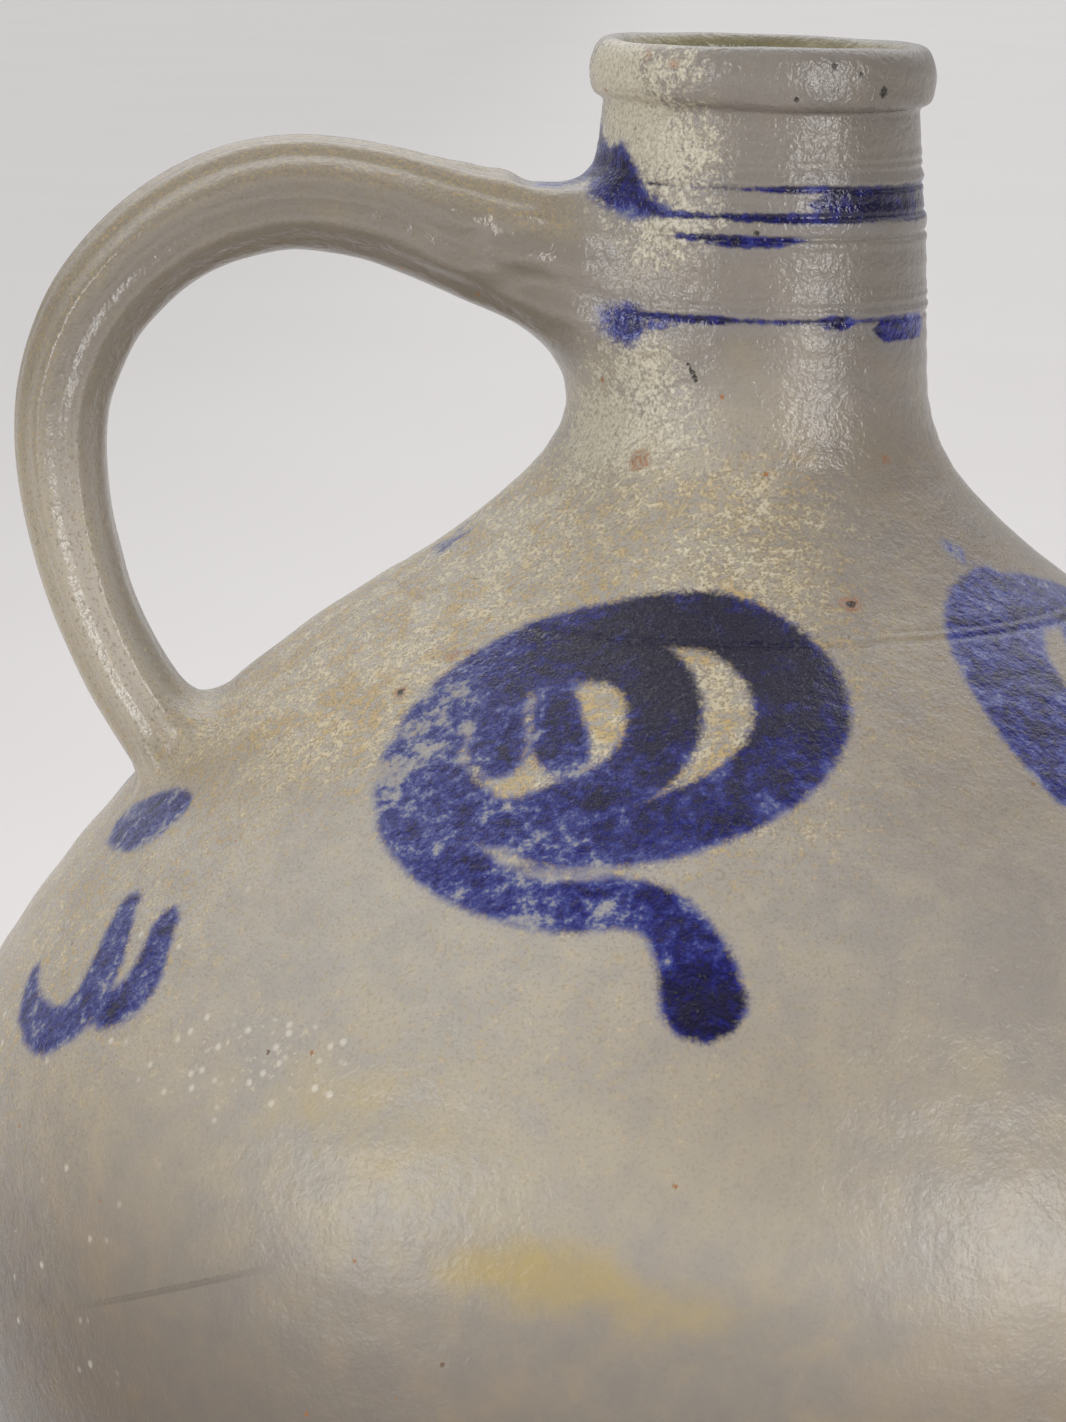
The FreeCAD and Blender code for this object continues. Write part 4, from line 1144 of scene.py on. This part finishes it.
    # --- cobalt
    pa, pb, pl = g.attr("paint"), g.attr("paint_in"), g.attr("paint_line")
    load = g.attr("load")
    wash = g.math("MINIMUM", pa, pb)
    rag = g.add(g.mul(g.sub(n_small, 0.5), 2.6), g.mul(g.sub(n_grain, 0.5), 1.5))
    body_mask = g.step(g.add(wash, g.mul(rag, 0.9)), 1.25, -1.15)
    line_mask = g.step(g.add(pl, g.mul(g.sub(n_small, 0.5), 1.4)), 0.40, -0.36)
    mask = g.math("MAXIMUM", body_mask, line_mask)
    n_mot = g.noise(g.shifted_by(P, n_mid), 0.17, 3.0, 0.62, 0.3)
    edge_thin = g.step(wash, -4.0, 0.6, 0.0, 0.16)
    thick = g.add(load, g.add(g.mul(g.sub(n_mot, 0.5), 1.70), g.mul(g.sub(n_small, 0.5), 1.10)))
    thick = g.add(thick, g.mul(g.sub(n_grain, 0.5), 0.55))
    thick = g.sub(thick, edge_thin)
    ramp = g.t.nodes.new("ShaderNodeValToRGB")
    el = ramp.color_ramp.elements
    el[0].position, el[0].color = 0.0, srgb(112, 120, 146)
    el[1].position, el[1].color = 1.0, srgb(7, 3, 38)
    for pos, col in ((0.20, srgb(74, 82, 132)), (0.38, srgb(40, 46, 116)), (0.56, srgb(18, 17, 92)), (0.76, srgb(7, 3, 60))):
        e = el.new(pos)
        e.color = col
    g.t.links.new(thick, ramp.inputs["Fac"])
    cover = g.mul(g.step(thick, -0.15, 0.30, 0.20, 1.0), mask)
    halo = g.mul(g.step(g.math("MINIMUM", wash, pl), 4.0, -0.5), 0.16)
    ground = g.mix(g.mul(halo, g.step(n_mid, 0.35, 0.65)), ground, srgb(96, 106, 140))
    colour = g.mix(cover, ground, ramp.outputs["Color"])
    # bright salt grains that lie over the blue
    grains = g.mul(g.step(n_grain, 0.66, 0.74), g.mul(mask, g.step(ochre, 0.3, 0.9)))
    colour = g.mix(g.mul(grains, 0.26), colour, srgb(146, 148, 164))
    colour = g.mix(g.mul(pit, 0.92), colour, srgb(30, 26, 18))

    # --- inside and bare foot
    in_col = g.mix(g.step(n_mid, 0.35, 0.7), srgb(120, 112, 84), srgb(146, 138, 108))
    colour = g.mix(inside, colour, in_col)
    clay = g.mix(g.step(n_small, 0.35, 0.7), srgb(150, 134, 112), srgb(176, 160, 136))
    colour = g.mix(bare, colour, clay)
    g.put(g.bsdf.inputs["Base Color"], colour)

    # --- gloss
    rough = g.add(g.step(fine, 0.45, 1.0, 0.36, 0.22), g.mul(g.sub(n_small, 0.5), 0.20))
    rough = g.mixf(g.mul(cr_mask, 0.6), rough, 0.50)
    rough = g.mixf(g.mul(cover, 0.6), rough, 0.20)
    rough = g.mixf(g.mul(specks, g.mul(ochre, 0.5)), rough, 0.44)
    rough = g.mixf(bare, rough, 0.85)
    g.put(g.bsdf.inputs["Roughness"], rough)
    g.bsdf.inputs["IOR"].default_value = 1.50
    g.bsdf.inputs["Specular IOR Level"].default_value = 0.48

    # --- relief finer than the mesh, in millimetres: orange peel, grain, streaks
    swell = g.noise(P, 0.23, 1.0, 0.5)
    crinkle = g.noise(P, 0.84, 1.5, 0.55, 0.35)
    peel = g.mul(g.add(g.mul(crinkle, 0.30), g.mul(n_grain, 0.13)), fine)
    peel = g.mul(peel, g.sub(1.0, g.mul(strap, 0.45)))
    peel = g.add(peel, g.mul(swell, g.step(fine, 0.45, 1.0, 0.26, 0.42)))
    peel = g.add(peel, g.mul(specks, g.mul(ochre, 0.09)))
    peel = g.add(peel, g.mul(cr_mask, 0.04))
    peel = g.add(peel, g.mul(g.mul(strap, streak), 0.07))
    peel = g.sub(peel, g.mul(scored, 0.22))
    peel = g.sub(peel, g.mul(pit, 0.30))
    g.put(g.bsdf.inputs["Normal"], g.bump(peel, 0.001, 1.0))
    return g.mat


# =============================================================== build
pot, pot_v, inner_a, bare_a = build_body()
n = len(pot_v)
paint_attributes(pot, pot_v, np.zeros(n), np.zeros((n, 3)), inner_a, bare_a)

hp, hq = build_handle()
parts = split_pieces(hp, hq)

glaze = salt_glaze("salt_glazed_stoneware")
pot.data.materials.append(glaze)

for ob, v in parts:
    skin_normals(ob, v)
    f, ds, db, k, ln, psi = field(v[:, 0], v[:, 1], v[:, 2])
    hmix = sstep(11.0, -0.5, ds) * sstep(-2.0, 15.0, db)
    hvec = np.stack([12.0 * np.cos(np.radians(psi)), 12.0 * np.sin(np.radians(psi)), ln * 0.05], -1) * 0.42
    paint_attributes(ob, v, hmix, hvec)
    ob.data.materials.append(glaze)

NODE_OF = {"upper_joint_clay": "upper_luting_clay", "strap_handle_pulled": "strap_handle", "lower_joint_clay": "lower_luting_clay"}
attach(pot, "root")
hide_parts("thrown_body")
for ob, _v in parts:
    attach(ob, "root")
    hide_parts(NODE_OF[ob.name])

# =============================================================== floor, light
bm = bmesh.new()
bmesh.ops.create_grid(bm, x_segments=8, y_segments=8, size=40.0)
fme = bpy.data.meshes.new("floor")
bm.to_mesh(fme)
bm.free()
floor = bpy.data.objects.new("floor", fme)
bpy.context.scene.collection.objects.link(floor)
floor.location = (0.0, 0.0, -0.0002)
gf = Graph("pale_floor")
ftc = gf.t.nodes.new("ShaderNodeTexCoord")
fn = gf.noise(ftc.outputs["Object"], 3.0, 3.0, 0.5)
across = gf.t.nodes.new("ShaderNodeVectorMath")
across.operation = "DOT_PRODUCT"
gf.t.links.new(ftc.outputs["Object"], across.inputs[0])
across.inputs[1].default_value = (0.9945, -0.1045, 0.0)
pale = gf.mix(fn, srgb(227, 223, 221), srgb(231, 228, 226))
# painted shade: the floor a little darker towards the left
gf.put(gf.bsdf.inputs["Base Color"], gf.mix(gf.step(across.outputs["Value"], -0.16, -0.60), pale, gf.times(pale, (0.89, 0.89, 0.89))))
gf.bsdf.inputs["Roughness"].default_value = 0.75
gf.bsdf.inputs["Specular IOR Level"].default_value = 0.2
fme.materials.append(gf.mat)

world = bpy.data.worlds.new("studio")
bpy.context.scene.world = world
world.use_nodes = True
wt = world.node_tree
bg = wt.nodes["Background"]


def wnode(kind, op=None, *ins):
    nd = wt.nodes.new(kind)
    if op:
        nd.operation = op
    for i, val in enumerate(ins):
        if isinstance(val, bpy.types.NodeSocket):
            wt.links.new(val, nd.inputs[i])
        else:
            nd.inputs[i].default_value = val
    return nd.outputs


# a pale room: even walls, and a broad light ceiling behind the jug that keeps the floor pale
sky = wnode("ShaderNodeTexCoord")[0]
back_dir = turned(Vector((-0.10, 0.60, 0.79))).normalized()
left_dir = turned(Vector((-0.85, -0.25, 0.45))).normalized()
lobe = wnode("ShaderNodeMath", "MAXIMUM", wnode("ShaderNodeVectorMath", "DOT_PRODUCT", sky, tuple(back_dir))[1], 0.0)[0]
lobe = wnode("ShaderNodeMath", "POWER", lobe, 2.4)[0]
lean = wnode("ShaderNodeMath", "MAXIMUM", wnode("ShaderNodeVectorMath", "DOT_PRODUCT", sky, tuple(left_dir))[1], 0.0)[0]
height = wnode("ShaderNodeMath", "MAXIMUM", wnode("ShaderNodeSeparateXYZ", None, sky)[2], 0.0)[0]
open_up = wnode("ShaderNodeMath", "MINIMUM", wnode("ShaderNodeMath", "MULTIPLY", height, 2.2)[0], 1.0)[0]
lobe = wnode("ShaderNodeMath", "MULTIPLY", lobe, open_up)[0]
over = wnode("ShaderNodeMath", "MAXIMUM", wnode("ShaderNodeMath", "MULTIPLY_ADD", height, 5.5, -4.5)[0], 0.0)[0]
lobe = wnode("ShaderNodeMath", "MULTIPLY", lobe, wnode("ShaderNodeMath", "MULTIPLY_ADD", over, -0.55, 1.0)[0])[0]
wall = wnode("ShaderNodeMath", "POWER", wnode("ShaderNodeMath", "SUBTRACT", 1.0, height)[0], 7.0)[0]
strength = wnode("ShaderNodeMath", "MULTIPLY_ADD", lobe, WORLD_BACK, WORLD_BASE)[0]
strength = wnode("ShaderNodeMath", "MULTIPLY_ADD", lean, WORLD_LEFT, strength)[0]
strength = wnode("ShaderNodeMath", "MULTIPLY_ADD", wall, WORLD_WALL, strength)[0]
bg.inputs["Color"].default_value = (0.985, 0.985, 1.0, 1.0)
wt.links.new(strength, bg.inputs["Strength"])


def soft_light(name, azimuth, elevation, dist, size_x, size_y, power, colour, aim=(0.0, 0.0, 0.27)):
    """A soft panel; azimuth from the camera's side, + to the right."""
    data = bpy.data.lights.new(name, "AREA")
    data.shape = "RECTANGLE"
    data.size, data.size_y = size_x, size_y
    data.energy = power
    data.color = colour
    ob = bpy.data.objects.new(name, data)
    bpy.context.scene.collection.objects.link(ob)
    a, e = math.radians(azimuth), math.radians(elevation)
    v = turned(Vector((math.sin(a) * math.cos(e), -math.cos(a) * math.cos(e), math.sin(e))))
    pos = Vector(aim) + v * dist
    ob.location = pos
    ob.rotation_euler = (-v).to_track_quat("-Z", "Y").to_euler()
    return ob


soft_light("window", 43.0, 16.0, 2.6, 0.62, 1.80, 38.0, (1.0, 0.99, 0.975), (0.0, 0.0, 0.30))
soft_light("window_left", -49.0, 14.0, 2.6, 0.48, 1.60, 24.5, (0.985, 0.99, 1.0), (0.0, 0.0, 0.30))

bpy.context.scene.view_settings.view_transform = "Standard"
bpy.context.scene.view_settings.look = "None"
